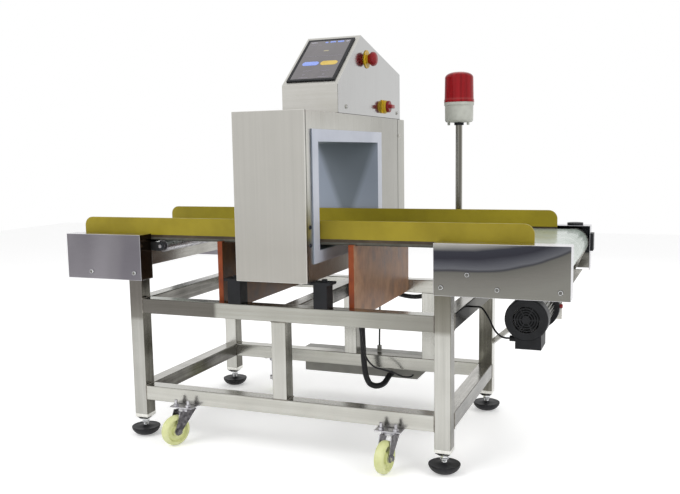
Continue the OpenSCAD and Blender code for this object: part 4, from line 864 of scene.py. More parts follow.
def rounded(node: str, finish: Finish, edge_mm: float = 0.8, segments: int = 2,
            choose: Chooser | None = None, faces: Chooser | None = None,
            edge: Finish | None = None, levels: tuple[float, ...] = ()) -> Piece:
    """Replaces a CAD node by its own shape with rounded edges and a finish.

    Args:
        node: The CAD node's name.
        finish: The finish of the whole piece, unless solids or faces have their own.
        edge_mm: Radius of the rounded edges.
        segments: Steps of each rounded edge.
        choose: Gives each solid its own finish.
        faces: Gives each face its own finish.
        edge: The finish of the rounded edges, a paler copy that paints the highlight they catch.
        levels: Heights in millimetres at which faces are divided, so that each part can
            have its own finish.

    Returns:
        The new piece.
    """
    obj = merged_copy(node)
    for level in levels:
        with editing(obj):
            bpy.ops.mesh.bisect(plane_co=(0.0, 0.0, level * MM), plane_no=(0.0, 0.0, 1.0))
    if choose:
        paint_solids(obj, choose)
    if faces:
        paint_faces(obj, faces)
    slot = -1
    if edge:
        slot = len(obj.data.materials)
        obj.data.materials.append(edge.material())
    bevel(obj, edge_mm, segments, SHARP_DEG, slot)
    smooth(obj)
    apply_modifier(obj, "WEIGHTED_NORMAL", {"weight": 100, "keep_sharp": True})
    return mount(obj, node + "_finished", node, finish)


def dress(node: str, finish: Finish) -> None:
    """Gives a CAD node that stays as it is its finish."""
    obj = frame["nodes"][node]
    obj.data.materials.clear()
    obj.data.materials.append(finish.material())
    LOG.info("%s keeps its shape", node)


def select(obj: Piece, kind: str, wanted: Callable[..., bool]) -> None:
    """Selects in edit mode the elements that pass a test, and no others.

    Args:
        obj: The piece, open in edit mode.
        kind: "FACE" or "EDGE".
        wanted: Takes a face or an edge and tells whether it is selected.
    """
    bpy.ops.mesh.select_mode(type=kind)
    bpy.ops.mesh.select_all(action="DESELECT")
    work = bmesh.from_edit_mesh(obj.data)
    for element in work.faces if kind == "FACE" else work.edges:
        element.select_set(bool(wanted(element)))
    bmesh.update_edit_mesh(obj.data)


def join(parts: list[Piece]) -> Piece:
    """Joins several pieces into the first."""
    activate(parts[0])
    for part in parts[1:]:
        part.select_set(True)
    bpy.ops.object.join()
    return parts[0]


def copies(model: Piece, places: list[Matrix]) -> Piece:
    """Copies a model to each place and joins the copies into one piece.

    Args:
        model: A finished model at the origin, which is used up.
        places: Where each copy goes.

    Returns:
        The joined piece, at the origin.
    """
    made = []
    for matrix in places:
        copy = bpy.data.objects.new(model.name, model.data.copy())
        bpy.context.scene.collection.objects.link(copy)
        copy.data.transform(matrix)
        made.append(copy)
    bpy.data.objects.remove(model, do_unlink=True)
    return join(made)


def lathe(profile: tuple[tuple[float, float], ...], steps: int = 40) -> Piece:
    """Turns a closed profile round +Z with a screw modifier.

    Args:
        profile: Radius and height of each corner in millimetres, from the axis below,
            outwards and up, and back to the axis.
        steps: Faces round the axis.

    Returns:
        The turned solid.
    """
    mesh = bpy.data.meshes.new("profile")
    mesh.from_pydata([(r * MM, 0.0, z * MM) for r, z in profile],
                     [(i, i + 1) for i in range(len(profile) - 1)], [])
    obj = bpy.data.objects.new("profile", mesh)
    bpy.context.scene.collection.objects.link(obj)
    apply_modifier(obj, "SCREW", {"axis": "Z", "steps": steps, "render_steps": steps,
                                  "use_merge_vertices": True, "merge_threshold": MERGE_MM / 2 * MM})
    with editing(obj):
        bpy.ops.mesh.normals_make_consistent(inside=False)
    smooth(obj, 40)
    return obj


def slab(low: Point, high: Point, origin: Vector = ORIGIN) -> Piece:
    """Makes a plain block.

    Args:
        low: Its lowest corner in millimetres.
        high: Its highest corner.
        origin: Where both are counted from, which is the frame's corner unless it is given.

    Returns:
        The block.
    """
    a, b = ((Vector(corner) - origin) * MM for corner in (low, high))
    bpy.ops.mesh.primitive_cube_add(size=1.0, location=(a + b) / 2)
    block = bpy.context.active_object
    block.scale = b - a
    settle(block)
    return block


def disc(across_mm: float, low_mm: float, high_mm: float, sides: int) -> Piece:
    """Makes a round or many-sided disc on the Z axis between two heights in millimetres."""
    bpy.ops.mesh.primitive_cylinder_add(
        vertices=sides, radius=across_mm / 2 * MM, depth=(high_mm - low_mm) * MM,
        location=(0, 0, (low_mm + high_mm) / 2 * MM))
    piece = bpy.context.active_object
    settle(piece)
    return piece


def paint(obj: Piece, finish: Finish) -> Piece:
    """Gives a whole part its finish before it is joined to others."""
    obj.data.materials.clear()
    obj.data.materials.append(finish.material())
    return obj


@dataclass(frozen=True)
class SocketScrew:
    """A button-head screw with a hexagon socket, its seat at the origin, pointing up.

    The crown is the share of the head's width that stays at its top, and the depth is the
    socket's share of the head's height.
    """

    head_mm: float
    height_mm: float
    socket_mm: float
    sides: int = 24
    crown: float = 0.72
    depth: float = 0.55
    socket_half: float = 0.62
    edge: float = 0.045
    socket_reach: float = 0.7
    floor_mm: float = 0.1

    def in_socket(self, centre: Vector) -> bool:
        """Tells whether a face's centre lies in the socket."""
        return (self.floor_mm < centre.z / MM < self.height_mm - self.floor_mm
                and centre.xy.length < self.socket_mm * self.socket_reach * MM)

    def make(self) -> Piece:
        """Models the head in bright metal with a darker socket, its grey a painted shade in the recess.
        """
        head = disc(self.head_mm, 0.0, self.height_mm, self.sides)
        with editing(head):
            select(head, "FACE", lambda f: f.normal.z > TURNED)
            bpy.ops.transform.resize(value=(self.crown, self.crown, 1.0))
            bpy.ops.mesh.inset(thickness=(
                self.head_mm * self.crown / 2 - self.socket_mm * self.socket_half) * MM)
            bpy.ops.mesh.extrude_region_move(TRANSFORM_OT_translate={
                "value": (0, 0, -self.height_mm * self.depth * MM)})
        head.data.materials.append(Finish.BRIGHT_SCREW.material())
        head.data.materials.append(Finish.SOCKET.material())
        # The socket's faces take the darker grey: painted shade in the recess
        for face in head.data.polygons:
            face.material_index = int(self.in_socket(face.center))
        bevel(head, self.head_mm * self.edge, 3)
        smooth(head)
        return head


@dataclass
class Studio:
    """The plain stage: camera at the photograph's angle, pale floor and soft light."""

    camera_at: Vector = Vector((1.63596, -2.29312, 0.95947))
    yaw: float = -21.63
    pitch: float = -7.14
    roll: float = -0.93
    focal_px: float = 811.49
    centre_px: tuple[float, float] = (337.32, 254.59)
    frame_px: tuple[int, int] = (680, 494)
    sensor_mm: float = 36.0
    floor_m: float = 14.0
    reach_m: float = 60.0
    floor_at: Point = (0.5, 0.4, 0.0)
    floor_tone: str = "#f6f6f6"
    floor_glow: float = 0.34
    sky_diffuse: float = 0.62
    white: str = "#ffffff"
    aim: Vector = Vector((0.55, 0.3, 0.6))
    lamps: tuple = (("key", (-1.2, -2.6, 3.2), 2.4, 70.0), ("side", (3.6, -0.6, 2.2), 2.0, 34.0),
                    ("back", (0.4, 3.4, 2.8), 2.4, 30.0))

    def camera(self) -> None:
        """Places the camera as the photograph was taken."""
        yaw, pitch, roll = (math.radians(a) for a in (self.yaw, self.pitch, self.roll))
        ahead = Vector((math.sin(yaw) * math.cos(pitch), math.cos(yaw) * math.cos(pitch),
                        math.sin(pitch)))
        right = Vector((math.cos(yaw), -math.sin(yaw), 0.0))
        up = right.cross(ahead)
        rolled_right = right * math.cos(roll) + up * math.sin(roll)
        rolled_up = up * math.cos(roll) - right * math.sin(roll)
        data = bpy.data.cameras.new("camera")
        data.sensor_width = self.sensor_mm
        data.sensor_fit = "HORIZONTAL"
        data.lens = self.focal_px / self.frame_px[0] * self.sensor_mm
        data.shift_x = (self.frame_px[0] / 2 - self.centre_px[0]) / self.frame_px[0]
        data.shift_y = (self.centre_px[1] - self.frame_px[1] / 2) / self.frame_px[0]
        data.clip_end = self.reach_m
        camera = bpy.data.objects.new("camera", data)
        bpy.context.scene.collection.objects.link(camera)
        axes = Matrix((rolled_right, rolled_up, -ahead)).transposed().to_4x4()
        camera.matrix_world = Matrix.Translation(self.camera_at) @ axes
        bpy.context.scene.camera = camera

    def floor(self) -> None:
        """Lays a plain pale floor that keeps the shadow."""
        bpy.ops.mesh.primitive_plane_add(size=self.floor_m, location=self.floor_at)
        floor = bpy.context.active_object
        floor.name = "floor"
        material, tree, shader = new_material("studio_floor")
        path = add(tree, "ShaderNodeLightPath")
        seen = add(tree, "ShaderNodeMath", {"operation": "MAXIMUM"},
                   {0: path.outputs["Is Camera Ray"], 1: path.outputs["Is Glossy Ray"]})
        glow = add(tree, "ShaderNodeMath", {"operation": "MULTIPLY"},
                   {0: seen.outputs[0], 1: self.floor_glow})
        feed(tree, shader, {
            "Base Color": linear(self.floor_tone), "Roughness": 0.9,
            "Emission Color": linear(self.white), "Emission Strength": glow.outputs[0]})
        floor.data.materials.append(material)

    def light(self) -> None:
        """Lights the machine softly from above, in front and behind."""
        scene = bpy.context.scene
        scene.view_settings.view_transform = "Standard"
        world = bpy.data.worlds.new("studio")
        world.use_nodes = True
        tree = world.node_tree
        tree.nodes.clear()
        path = add(tree, "ShaderNodeLightPath")
        shiny = add(tree, "ShaderNodeMath", {"operation": "MAXIMUM"},
                    {0: path.outputs["Is Glossy Ray"], 1: path.outputs["Is Transmission Ray"]})
        seen = add(tree, "ShaderNodeMath", {"operation": "MAXIMUM"},
                   {0: path.outputs["Is Camera Ray"], 1: shiny.outputs[0]})
        dim = add(tree, "ShaderNodeBackground", inputs={
            "Color": linear(self.white), "Strength": self.sky_diffuse})
        white = add(tree, "ShaderNodeBackground", inputs={
            "Color": linear(self.white), "Strength": 1.0})
        mix = add(tree, "ShaderNodeMixShader", inputs={
            0: seen.outputs[0], 1: dim.outputs[0], 2: white.outputs[0]})
        add(tree, "ShaderNodeOutputWorld", inputs={"Surface": mix.outputs[0]})
        scene.world = world
        for name, at, size, power in self.lamps:
            data = bpy.data.lights.new(name, "AREA")
            data.size = size
            data.energy = power
            lamp = bpy.data.objects.new(name, data)
            lamp.visible_glossy = False
            scene.collection.objects.link(lamp)
            lamp.location = at
            lamp.rotation_euler = (self.aim - Vector(at)).to_track_quat("-Z", "Y").to_euler()

    def build(self) -> None:
        """Sets the camera, the floor and the lamps."""
        self.camera()
        self.floor()
        self.light()


Route = tuple[Point, ...]


@dataclass
class Cables:
    """The cords between the machine's casings, each on the CAD's route in millimetres."""

    harness_mm: float = 22.0
    conduit_mm: float = 18.0
    lead_mm: float = 7.0
    motor_mm: float = 6.0
    harness: tuple = ((632, 560, 564), (632, 560, 542), (632, 560, 520), (632, 562, 420),
                      (634, 563, 340), (636, 564, 260), (639, 565, 180), (645, 566, 125),
                      (658, 568, 90), (677, 574, 78), (694, 590, 76), (704, 614, 80),
                      (708, 640, 91), (709, 664, 98), (709, 678, 98), (709, 692, 98))
    conduit: tuple = ((640, 860, 564), (640, 860, 548), (640, 860, 530), (642, 846, 490),
                      (652, 810, 455), (680, 765, 428), (720, 730, 412), (762, 712, 406),
                      (806, 708, 405), (846, 708, 414), (882, 708, 434), (902, 708, 446),
                      (920, 708, 453), (934, 708, 453), (946, 708, 453))
    sensor: tuple = ((650, 470, 564), (650, 470, 548), (650, 470, 530), (651, 472, 440),
                     (653, 480, 350), (657, 496, 270), (665, 520, 200), (685, 548, 160),
                     (712, 568, 146), (742, 590, 132), (772, 622, 110), (787, 652, 100),
                     (795, 670, 98), (795, 682, 98), (795, 692, 98))
    supply: tuple = ((650, 735, 564), (650, 735, 548), (650, 735, 520), (650, 732, 420),
                     (650, 728, 320), (650, 722, 250), (650, 720, 220), (650, 720, 210),
                     (650, 720, 200))
    motor: tuple = ((1249, 200, 385), (1243, 200, 385), (1236, 200, 385), (1218, 212, 387),
                    (1194, 240, 400), (1168, 276, 430), (1146, 298, 452), (1132, 306, 457),
                    (1122, 306, 457), (1112, 306, 457))
    steps: int = 8
    round_steps: int = 4

    def curve(self, points: Route) -> list[Vector]:
        """Draws the smooth curve that the CAD draws through the points.

        Args:
            points: The route in millimetres from the frame's corner.

        Returns:
            Points of the curve in the part's metres.
        """
        p = [place(*q) for q in points]
        line = []
        for i in range(len(p) - 1):
            a, b, c, d = p[max(i - 1, 0)], p[i], p[i + 1], p[min(i + 2, len(p) - 1)]
            for k in range(self.steps):
                t = k / self.steps
                line.append((2 * b + (c - a) * t + (2 * a - 5 * b + 4 * c - d) * t * t
                             + (3 * b - a - 3 * c + d) * t ** 3) / 2)
        return line + [p[-1]]

    def lay(self, name: str, points: Route, wide_mm: float, node: str) -> None:
        """Args:
            name: The cord's name.
            points: Its route in millimetres.
            wide_mm: Its diameter.
            node: The CAD node that it stands for.
        """
        line = self.curve(points)
        data = bpy.data.curves.new(name, "CURVE")
        data.dimensions = "3D"
        data.bevel_depth = wide_mm / 2 * MM
        data.bevel_resolution = self.round_steps
        data.use_fill_caps = True
        spline = data.splines.new("POLY")
        spline.points.add(len(line) - 1)
        for point, at in zip(spline.points, line):
            point.co = (*at, 1.0)
        spline.use_smooth = True
        cord = bpy.data.objects.new(name, data)
        bpy.context.scene.collection.objects.link(cord)
        data.materials.append(Finish.CABLE.material())
        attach(cord, "frame")
        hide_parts(node)

    def build(self) -> None:
        """Lays every cord."""
        self.lay("head_harness", self.harness, self.harness_mm, "harness_hose")
        self.lay("beacon_cable", self.conduit, self.conduit_mm, "beacon_conduit")
        self.lay("sensor_cable", self.sensor, self.lead_mm, "box_leads")
        self.lay("supply_cable", self.supply, self.lead_mm, "box_leads")
        self.lay("motor_cable", self.motor, self.motor_mm, "motor_lead")


@dataclass
class TubeFrame:
    """The welded frame with its plugs, adjustable feet and swivel casters."""

    tube_edge_mm: float = 0.8
    leg_x_mm: tuple = (25.0, 1087.0)
    leg_y_mm: tuple = (25.0, 667.0)
    rail_z_mm: tuple = (130.0, 432.0)
    tube_mm: float = 50.0
    post_x_mm: float = 531.0
    fork_turned: float = 0.6
    places: tuple = (("front_left", 0, 0), ("front_right", 1, 0), ("rear_left", 0, 1),
                     ("rear_right", 1, 1))
    bead_mm: float = 4.0
    bead_pitch: float = 0.7
    pad: tuple = ((0, 0.4), (15, 0.4), (22, 1.2), (29, 3.4), (35.5, 7), (41, 11.6), (45.2, 17),
                  (47.8, 22.6), (48.8, 26.6), (48.4, 28.6), (47, 29.4), (44, 29), (36, 28.6),
                  (28, 29.2), (22, 30.4), (18, 31.6), (15, 32.6), (13.6, 32.9), (0, 32.9))
    stud_mm: float = 7.2
    stud_foot_mm: float = 30.0
    thread_foot_mm: float = 33.0
    thread_mm: float = 0.7
    pitch_mm: float = 0.9
    ridges: int = 74
    plug_z_mm: tuple = (54.1, 78.1)
    plug_waist_mm: float = 66.0
    plug_taper: float = 0.5
    plug_edge_mm: float = 1.4
    nut_mm: tuple = (25.0, 8.4, 27.0)
    nut_z_mm: float = 44.4
    nut_edge: float = 0.05
    washer_share: float = 0.16

    def tube_faces(self, centre: Vector, normal: Vector) -> Finish:
        """Chooses painted shade on the right faces, painted reflections on the upper rail, on the rear
        rail's mirrored top and on the front post, and otherwise the grain that runs along each tube."""
        upright = self.rail_z_mm[0] + self.tube_mm < centre.z < self.rail_z_mm[1]
        front = centre.y < self.tube_mm
        if normal.x > TURNED:
            return Finish.TUBE_SHADE
        if centre.z > self.rail_z_mm[1] and centre.y < 1.0:
            return Finish.RAIL_UPPER
        if normal.z > TURNED and not front and centre.z < self.rail_z_mm[1]:
            return Finish.RAIL_TOP
        if upright:
            return Finish.POST if front else Finish.TUBE_UPRIGHT
        return Finish.TUBE_LONG

    def leg_faces(self, centre: Vector, normal: Vector) -> Finish:
        """Chooses painted shade on the right of a leg and in front of the rear right one, painted
        reflections on the two front legs, and the plain grain of the rear left one."""
        rear_right = centre.y > self.tube_mm and centre.x > self.post_x_mm
        if rear_right:
            return Finish.TUBE_SHADE if normal.y < -TURNED else Finish.TUBE_UPRIGHT
        if normal.x > TURNED:
            return Finish.TUBE_SHADE
        if centre.y > self.tube_mm:
            return Finish.TUBE_UPRIGHT
        return Finish.LEG_LEFT if centre.x < self.tube_mm else Finish.LEG_RIGHT

    def cross_faces(self, centre: Vector, normal: Vector) -> Finish:
        """Chooses the grain across the frame and painted shade on the right faces, the darkest a
        painted dark reflection on the upper right rail."""
        if normal.x < TURNED:
            return Finish.TUBE_CROSS
        outer = centre.x > self.leg_x_mm[1] and centre.z > self.rail_z_mm[1]
        return Finish.CROSS_DARK if outer else Finish.CROSS_SHADE

    def fork_faces(self, centre: Vector, normal: Vector) -> Finish:
        """Chooses painted shade, a darker zinc, for the faces that a fork turns to the right."""
        return Finish.ZINC_SHADE if normal.x > self.fork_turned else Finish.ZINC

    def bead_lines(self) -> list:
        """Lists both ends of each weld bead between rails, posts and legs."""
        lines = []
        far = self.leg_y_mm[1] + self.tube_mm / 2
        left, right = self.tube_mm, self.leg_x_mm[1] - self.tube_mm / 2
        for z in self.rail_z_mm:
            top = z + self.tube_mm
            for y, back in ((0.0, self.tube_mm), (far, far - self.tube_mm)):
                for x in (left, right):
                    lines += [((x, y, z), (x, y, top)), ((x, y, top), (x, back, top)),
                              ((x, back, z), (x, back, top))]
            for x in (0.0, self.tube_mm, right, right + self.tube_mm):
                for y in (self.tube_mm, far - self.tube_mm):
                    lines.append(((x, y, z), (x, y, top)))
        post = self.post_x_mm
        for z in (self.rail_z_mm[0] + self.tube_mm, self.rail_z_mm[1]):
            for y in (0.0, self.tube_mm):
                lines.append(((post, y, z), (post + self.tube_mm, y, z)))
            for x in (post, post + self.tube_mm):
                lines.append(((x, 0.0, z), (x, self.tube_mm, z)))
        return lines

    def beads(self) -> None:
        """Lays the weld beads, each a row of flattened drops along a joint."""
        bpy.ops.mesh.primitive_uv_sphere_add(segments=8, ring_count=5, radius=self.bead_mm / 2 * MM)
        drop = bpy.context.active_object
        spots = []
        for start, end in self.bead_lines():
            a, b = place(*start), place(*end)
            count = max(2, round((b - a).length / (self.bead_mm * self.bead_pitch * MM)))
            spots += [Matrix.Translation(a.lerp(b, (i + 0.5) / count)) for i in range(count)]
        smooth(drop, 80)
        mount(copies(drop, spots), "weld_beads", "frame_legs", Finish.BEAD, stands_in=False)

    def foot(self, corner: str, at: Matrix) -> None:
        """Makes a low domed pad with a rubber rim on its threaded stud."""
        thread = tuple((self.stud_mm + self.thread_mm * (k % 2),
                        self.thread_foot_mm + k * self.pitch_mm) for k in range(self.ridges))
        end = (0, self.thread_foot_mm + self.ridges * self.pitch_mm)
        stud = lathe(((0, self.stud_foot_mm), (self.stud_mm, self.stud_foot_mm), *thread, end), 20)
        pad = lathe(self.pad, 48)
        foot = join([paint(pad, Finish.FOOT), paint(stud, Finish.BRIGHT_SCREW)])
        foot.data.transform(at)
        mount(foot, "levelling_foot_" + corner, "foot_" + corner)

    def locknut(self) -> Piece:
        """Models a chamfered hexagon nut on a washer, its seat at the origin."""
        across, height, washer = self.nut_mm
        thick = height * self.washer_share
        ring = disc(washer, 0.0, thick, 28)
        head = disc(across, thick, thick + height, 6)
        bevel(head, across * self.nut_edge, 2, 50.0)
        nut = join([head, ring])
        smooth(nut, 30)
        return nut

    def plugs(self, spots: list[Matrix]) -> None:
        """Makes the tapered leg plugs, each over the locknut of its foot."""
        half, (low, high) = self.tube_mm / 2, self.plug_z_mm
        plug = slab((-half, -half, low), (half, half, high), HERE)
        with editing(plug):
            bpy.ops.mesh.bisect(plane_co=(0, 0, self.plug_waist_mm * MM), plane_no=(0, 0, 1))
            select(plug, "FACE", lambda f: f.normal.z < -TURNED)
            bpy.ops.transform.resize(value=(self.plug_taper, self.plug_taper, 1.0))
        bevel(plug, self.plug_edge_mm, 3, 25.0)
        smooth(plug, 40)
        nut = self.locknut()
        nut.data.transform(Matrix.Translation((0, 0, self.nut_z_mm * MM)))
        pair = join([paint(plug, Finish.PLUG), paint(nut, Finish.BRIGHT_SCREW)])
        mount(copies(pair, spots), "leg_plugs_with_locknuts", "leg_plugs")

    def build(self) -> None:
        """Dresses the tubes, feet and casters."""
        rounded("frame_legs", Finish.TUBE_UPRIGHT, self.tube_edge_mm, 3, faces=self.leg_faces)
        rails = (self.rail_z_mm[0] + self.tube_mm, self.rail_z_mm[1])
        for node in ("front_rails", "rear_rails"):
            rounded(node, Finish.TUBE_LONG, self.tube_edge_mm, 3, faces=self.tube_faces,
                    levels=rails)
        rounded("cross_rails", Finish.TUBE_CROSS, self.tube_edge_mm, 3, faces=self.cross_faces)
        self.beads()
        spots = {name: Matrix.Translation(place(self.leg_x_mm[i], self.leg_y_mm[j], 0.0))
                 for name, i, j in self.places}
        self.plugs(list(spots.values()))
        rounded("caster_mounts", Finish.ZINC, 0.5)
        for corner, at in spots.items():
            self.foot(corner, at)
            rounded("fork_" + corner, Finish.ZINC, 0.6, faces=self.fork_faces)
            rounded("wheel_" + corner, Finish.NYLON, 0.8)


@dataclass
class Conveyor:
    """Belt, bed, rollers, folded end plates, guide rails and their small steel."""

    screw: SocketScrew = SocketScrew(17.0, 5.0, 8.0)
    screw_sink_mm: float = 0.3
    middle_y_mm: float = 346.0
    pale_panel_mm: float = 700.0
    ears_x_mm: tuple = (60.0, 1130.0)
    large_mm: float = 50.0
    strip_y_mm: tuple = (66.5, 621.5)
    strip_x_mm: tuple = (-140.0, 1338.0)
    strip_z_mm: tuple = (684.2, 692.6)
    strip_mm: float = 4.0

    def infeed_faces(self, centre: Vector, normal: Vector) -> Finish:
        """Chooses grey mirror with painted reflections for the plates, bright lips in painted highlight
        and a flange in painted brown shade.
        """
        if abs(normal.z) > TURNED:
            return Finish.MIRROR_EDGE
        return Finish.MIRROR_SHADE if normal.x > TURNED else Finish.MIRROR

    def outfeed_faces(self, centre: Vector, normal: Vector) -> Finish:
        """Chooses the swept mirror, a painted reflection, for both plates and bright lips in painted
        highlight.
        """
        if abs(normal.z) > TURNED or normal.x > TURNED:
            return Finish.MIRROR_EDGE
        return Finish.MIRROR_OUT if centre.y < self.middle_y_mm else Finish.MIRROR_FAR

    def belt_faces(self, centre: Vector, normal: Vector) -> Finish:
        """Chooses a dark finish, painted shade, for the cut edge on both sides of the belt."""
        return Finish.BELT_EDGE_SHADE if abs(normal.y) > TURNED else Finish.BELT

    def board_faces(self, centre: Vector, normal: Vector) -> Finish:
        """Chooses painted shade for the cut edge on the sides of the bed board."""
        return Finish.BELT_EDGE_SHADE if abs(normal.y) > TURNED else Finish.LAM_FACE

    def panel_faces(self, centre: Vector, normal: Vector) -> Finish:
        """Chooses the brown broad faces, paler on the right panel, and red-brown edges."""
        if abs(normal.x) < TURNED:
            return Finish.LAM_EDGE
        return Finish.LAM_PALE if centre.x > self.pale_panel_mm else Finish.LAM_FACE

    def bearing_parts(self, low: Vector, high: Vector) -> Finish:
        """Chooses zinc for the ears of the return rollers and cast iron for the bearings."""
        return Finish.ZINC if self.ears_x_mm[0] < low.x < self.ears_x_mm[1] else Finish.DARK_IRON

    def screw_parts(self, low: Vector, high: Vector) -> Finish | None:
        """Keeps the black adjuster and cover and leaves the screws to their own model."""
        return Finish.BLACK_PLASTIC if (high - low).length > self.large_mm else None

    def screws(self) -> None:
        """Makes each plate screw as a button head with a dark hexagon socket."""
        spots = []
        for low, high in solids("plate_screws"):
            if self.screw_parts(low, high) is None:
                near = (low.y + high.y) / 2 < self.middle_y_mm
                seat = high.y - self.screw_sink_mm if near else low.y + self.screw_sink_mm
                turn = Matrix.Rotation(math.radians(90 if near else -90), 4, "X")
                at = place((low.x + high.x) / 2, seat, (low.z + high.z) / 2)
                spots.append(Matrix.Translation(at) @ turn)
        mount(copies(self.screw.make(), spots), "plate_socket_screws", "plate_screws")

    def strips(self) -> None:
        """Lays the dark strips under both guide rails: phenolic, darkened by painted shade."""
        left, right = self.strip_x_mm
        low, high = self.strip_z_mm
        row = join([slab((left, y, low), (right, y + self.strip_mm, high))
                    for y in self.strip_y_mm])
        mount(row, "guide_strips", "guide_rails", Finish.SKIRT, stands_in=False)

    def build(self) -> None:
        """Dresses the conveyor."""
        for node, faces in (("infeed_side_plates", self.infeed_faces),
                            ("outfeed_side_plates", self.outfeed_faces)):
            # The plates' rounded edges take the lips' painted highlight
            rounded(node, Finish.MIRROR, 1.6, 3, faces=faces, edge=Finish.MIRROR_EDGE)
        rounded("plate_screws", Finish.BLACK_PLASTIC, choose=self.screw_parts)
        self.screws()
        rounded("belt_bearings", Finish.DARK_IRON, choose=self.bearing_parts)
        rounded("drive_roller", Finish.DARK_IRON, 0.5)
        for node in ("tail_roller", "return_roller_infeed", "return_roller_outfeed"):
            rounded(node, Finish.ZINC, 0.5)
        rounded("conveyor_belt", Finish.BELT, 0.5, faces=self.belt_faces)
        rounded("bed_board", Finish.LAM_FACE, faces=self.board_faces)
        rounded("bed_brackets", Finish.TUBE_CROSS, 0.6)
        rounded("guide_rails", Finish.GUIDE, 1.0, 3)
        self.strips()
        rounded("support_panels", Finish.LAM_EDGE, 1.0, faces=self.panel_faces)


@dataclass
class SearchHead:
    """Stainless head with its covers, tunnel liner and mounting feet."""

    bolt_mm: float = 25.0
    cover_screw: SocketScrew = SocketScrew(14.0, 4.0, 6.5)
    screw_out_mm: float = 0.2
    large_mm: float = 60.0
    middle_y_mm: float = 346.0
    joint_x_mm: tuple = (430.4, 674.7)
    joint_y_mm: tuple = (-24.0, 898.8)
    joint_z_mm: tuple = (565.0, 1089.0)
    roof_joint: tuple = (431.0, 675.0, 1089.6, 1090.3)
    joint_wide_mm: float = 0.9
    joint_deep_mm: float = 1.3
    box_joints: tuple = (((474.6, 242.5, 1090), (675.5, 243.4, 1091.4)),
                         ((674.6, 243, 1090), (675.5, 931, 1091.4)),
                         ((674.6, 243.6, 1091), (675.5, 244.8, 1184)))

    def mount_parts(self, low: Vector, high: Vector) -> Finish:
        """Chooses dark iron for the bolts and a black coat for the posts and feet."""
        return Finish.DARK_IRON if (high - low).x < self.bolt_mm else Finish.BLACK_COAT

    def head_faces(self, centre: Vector, normal: Vector) -> Finish:
        """Chooses the ground sheet, with a lighter copy in painted light and shade on the right side."""
        return Finish.SHEET_SIDE if normal.x > TURNED else Finish.SHEET

    def cover_parts(self, low: Vector, high: Vector) -> Finish | None:
        """Leaves the screws out, since they are modelled anew."""
        return None if (high - low).length < self.large_mm else Finish.SHEET

    def liner_faces(self, centre: Vector, normal: Vector) -> Finish:
        """Chooses pale flanges, painted shade inside, the darkest painted shade under the roof, and
        painted shade falling down the far wall.
        """
        if abs(normal.x) > TURNED:
            return Finish.LINER
        if normal.z < -TURNED:
            return Finish.LINER_TOP
        far = normal.y < -TURNED and centre.y > self.middle_y_mm
        return Finish.INNER if far else Finish.LINER_IN

    def seams(self) -> None:
        """Lays the dark joints between the shell, both covers and the control box."""
        low, high = self.joint_z_mm
        left, right, under, over = self.roof_joint
        wide, deep = self.joint_wide_mm, self.joint_deep_mm
        lines = [slab((x, y, low), (x + wide, y + deep, high)) for x in self.joint_x_mm
                 for y in self.joint_y_mm]
        lines += [slab((left, y, under), (right, y + deep, over)) for y in self.joint_y_mm]
        lines += [slab(*joint) for joint in self.box_joints]
        mount(join(lines), "sheet_seams", "head_shell", Finish.SEAM, stands_in=False)

    def screws(self) -> None:
        """Makes the dark button heads that hold both covers."""
        spots = []
        for low, high in solids("head_covers"):
            if self.cover_parts(low, high) is None:
                seat = place(low.x - self.screw_out_mm, (low.y + high.y) / 2, (low.z + high.z) / 2)
                spots.append(Matrix.Translation(seat) @ ALONG_X)
        row = paint(copies(self.cover_screw.make(), spots), Finish.DARK_SCREW)
        mount(row, "cover_screws", "head_covers")

    def build(self) -> None:
        """Dresses the head."""
        rounded("head_shell", Finish.SHEET, 1.2, 3, faces=self.head_faces)
        # The covers' rounded edges take the paler copy, a painted highlight
        rounded("head_covers", Finish.SHEET, 1.6, 3, choose=self.cover_parts,
                faces=self.head_faces, edge=Finish.SHEET_EDGE)
        self.seams()
        self.screws()
        rounded("tunnel_liner", Finish.LINER, 1.2, 3, faces=self.liner_faces)
        rounded("head_mounts", Finish.BLACK_COAT, 1.2, choose=self.mount_parts)
        dress("search_coils", Finish.COIL)


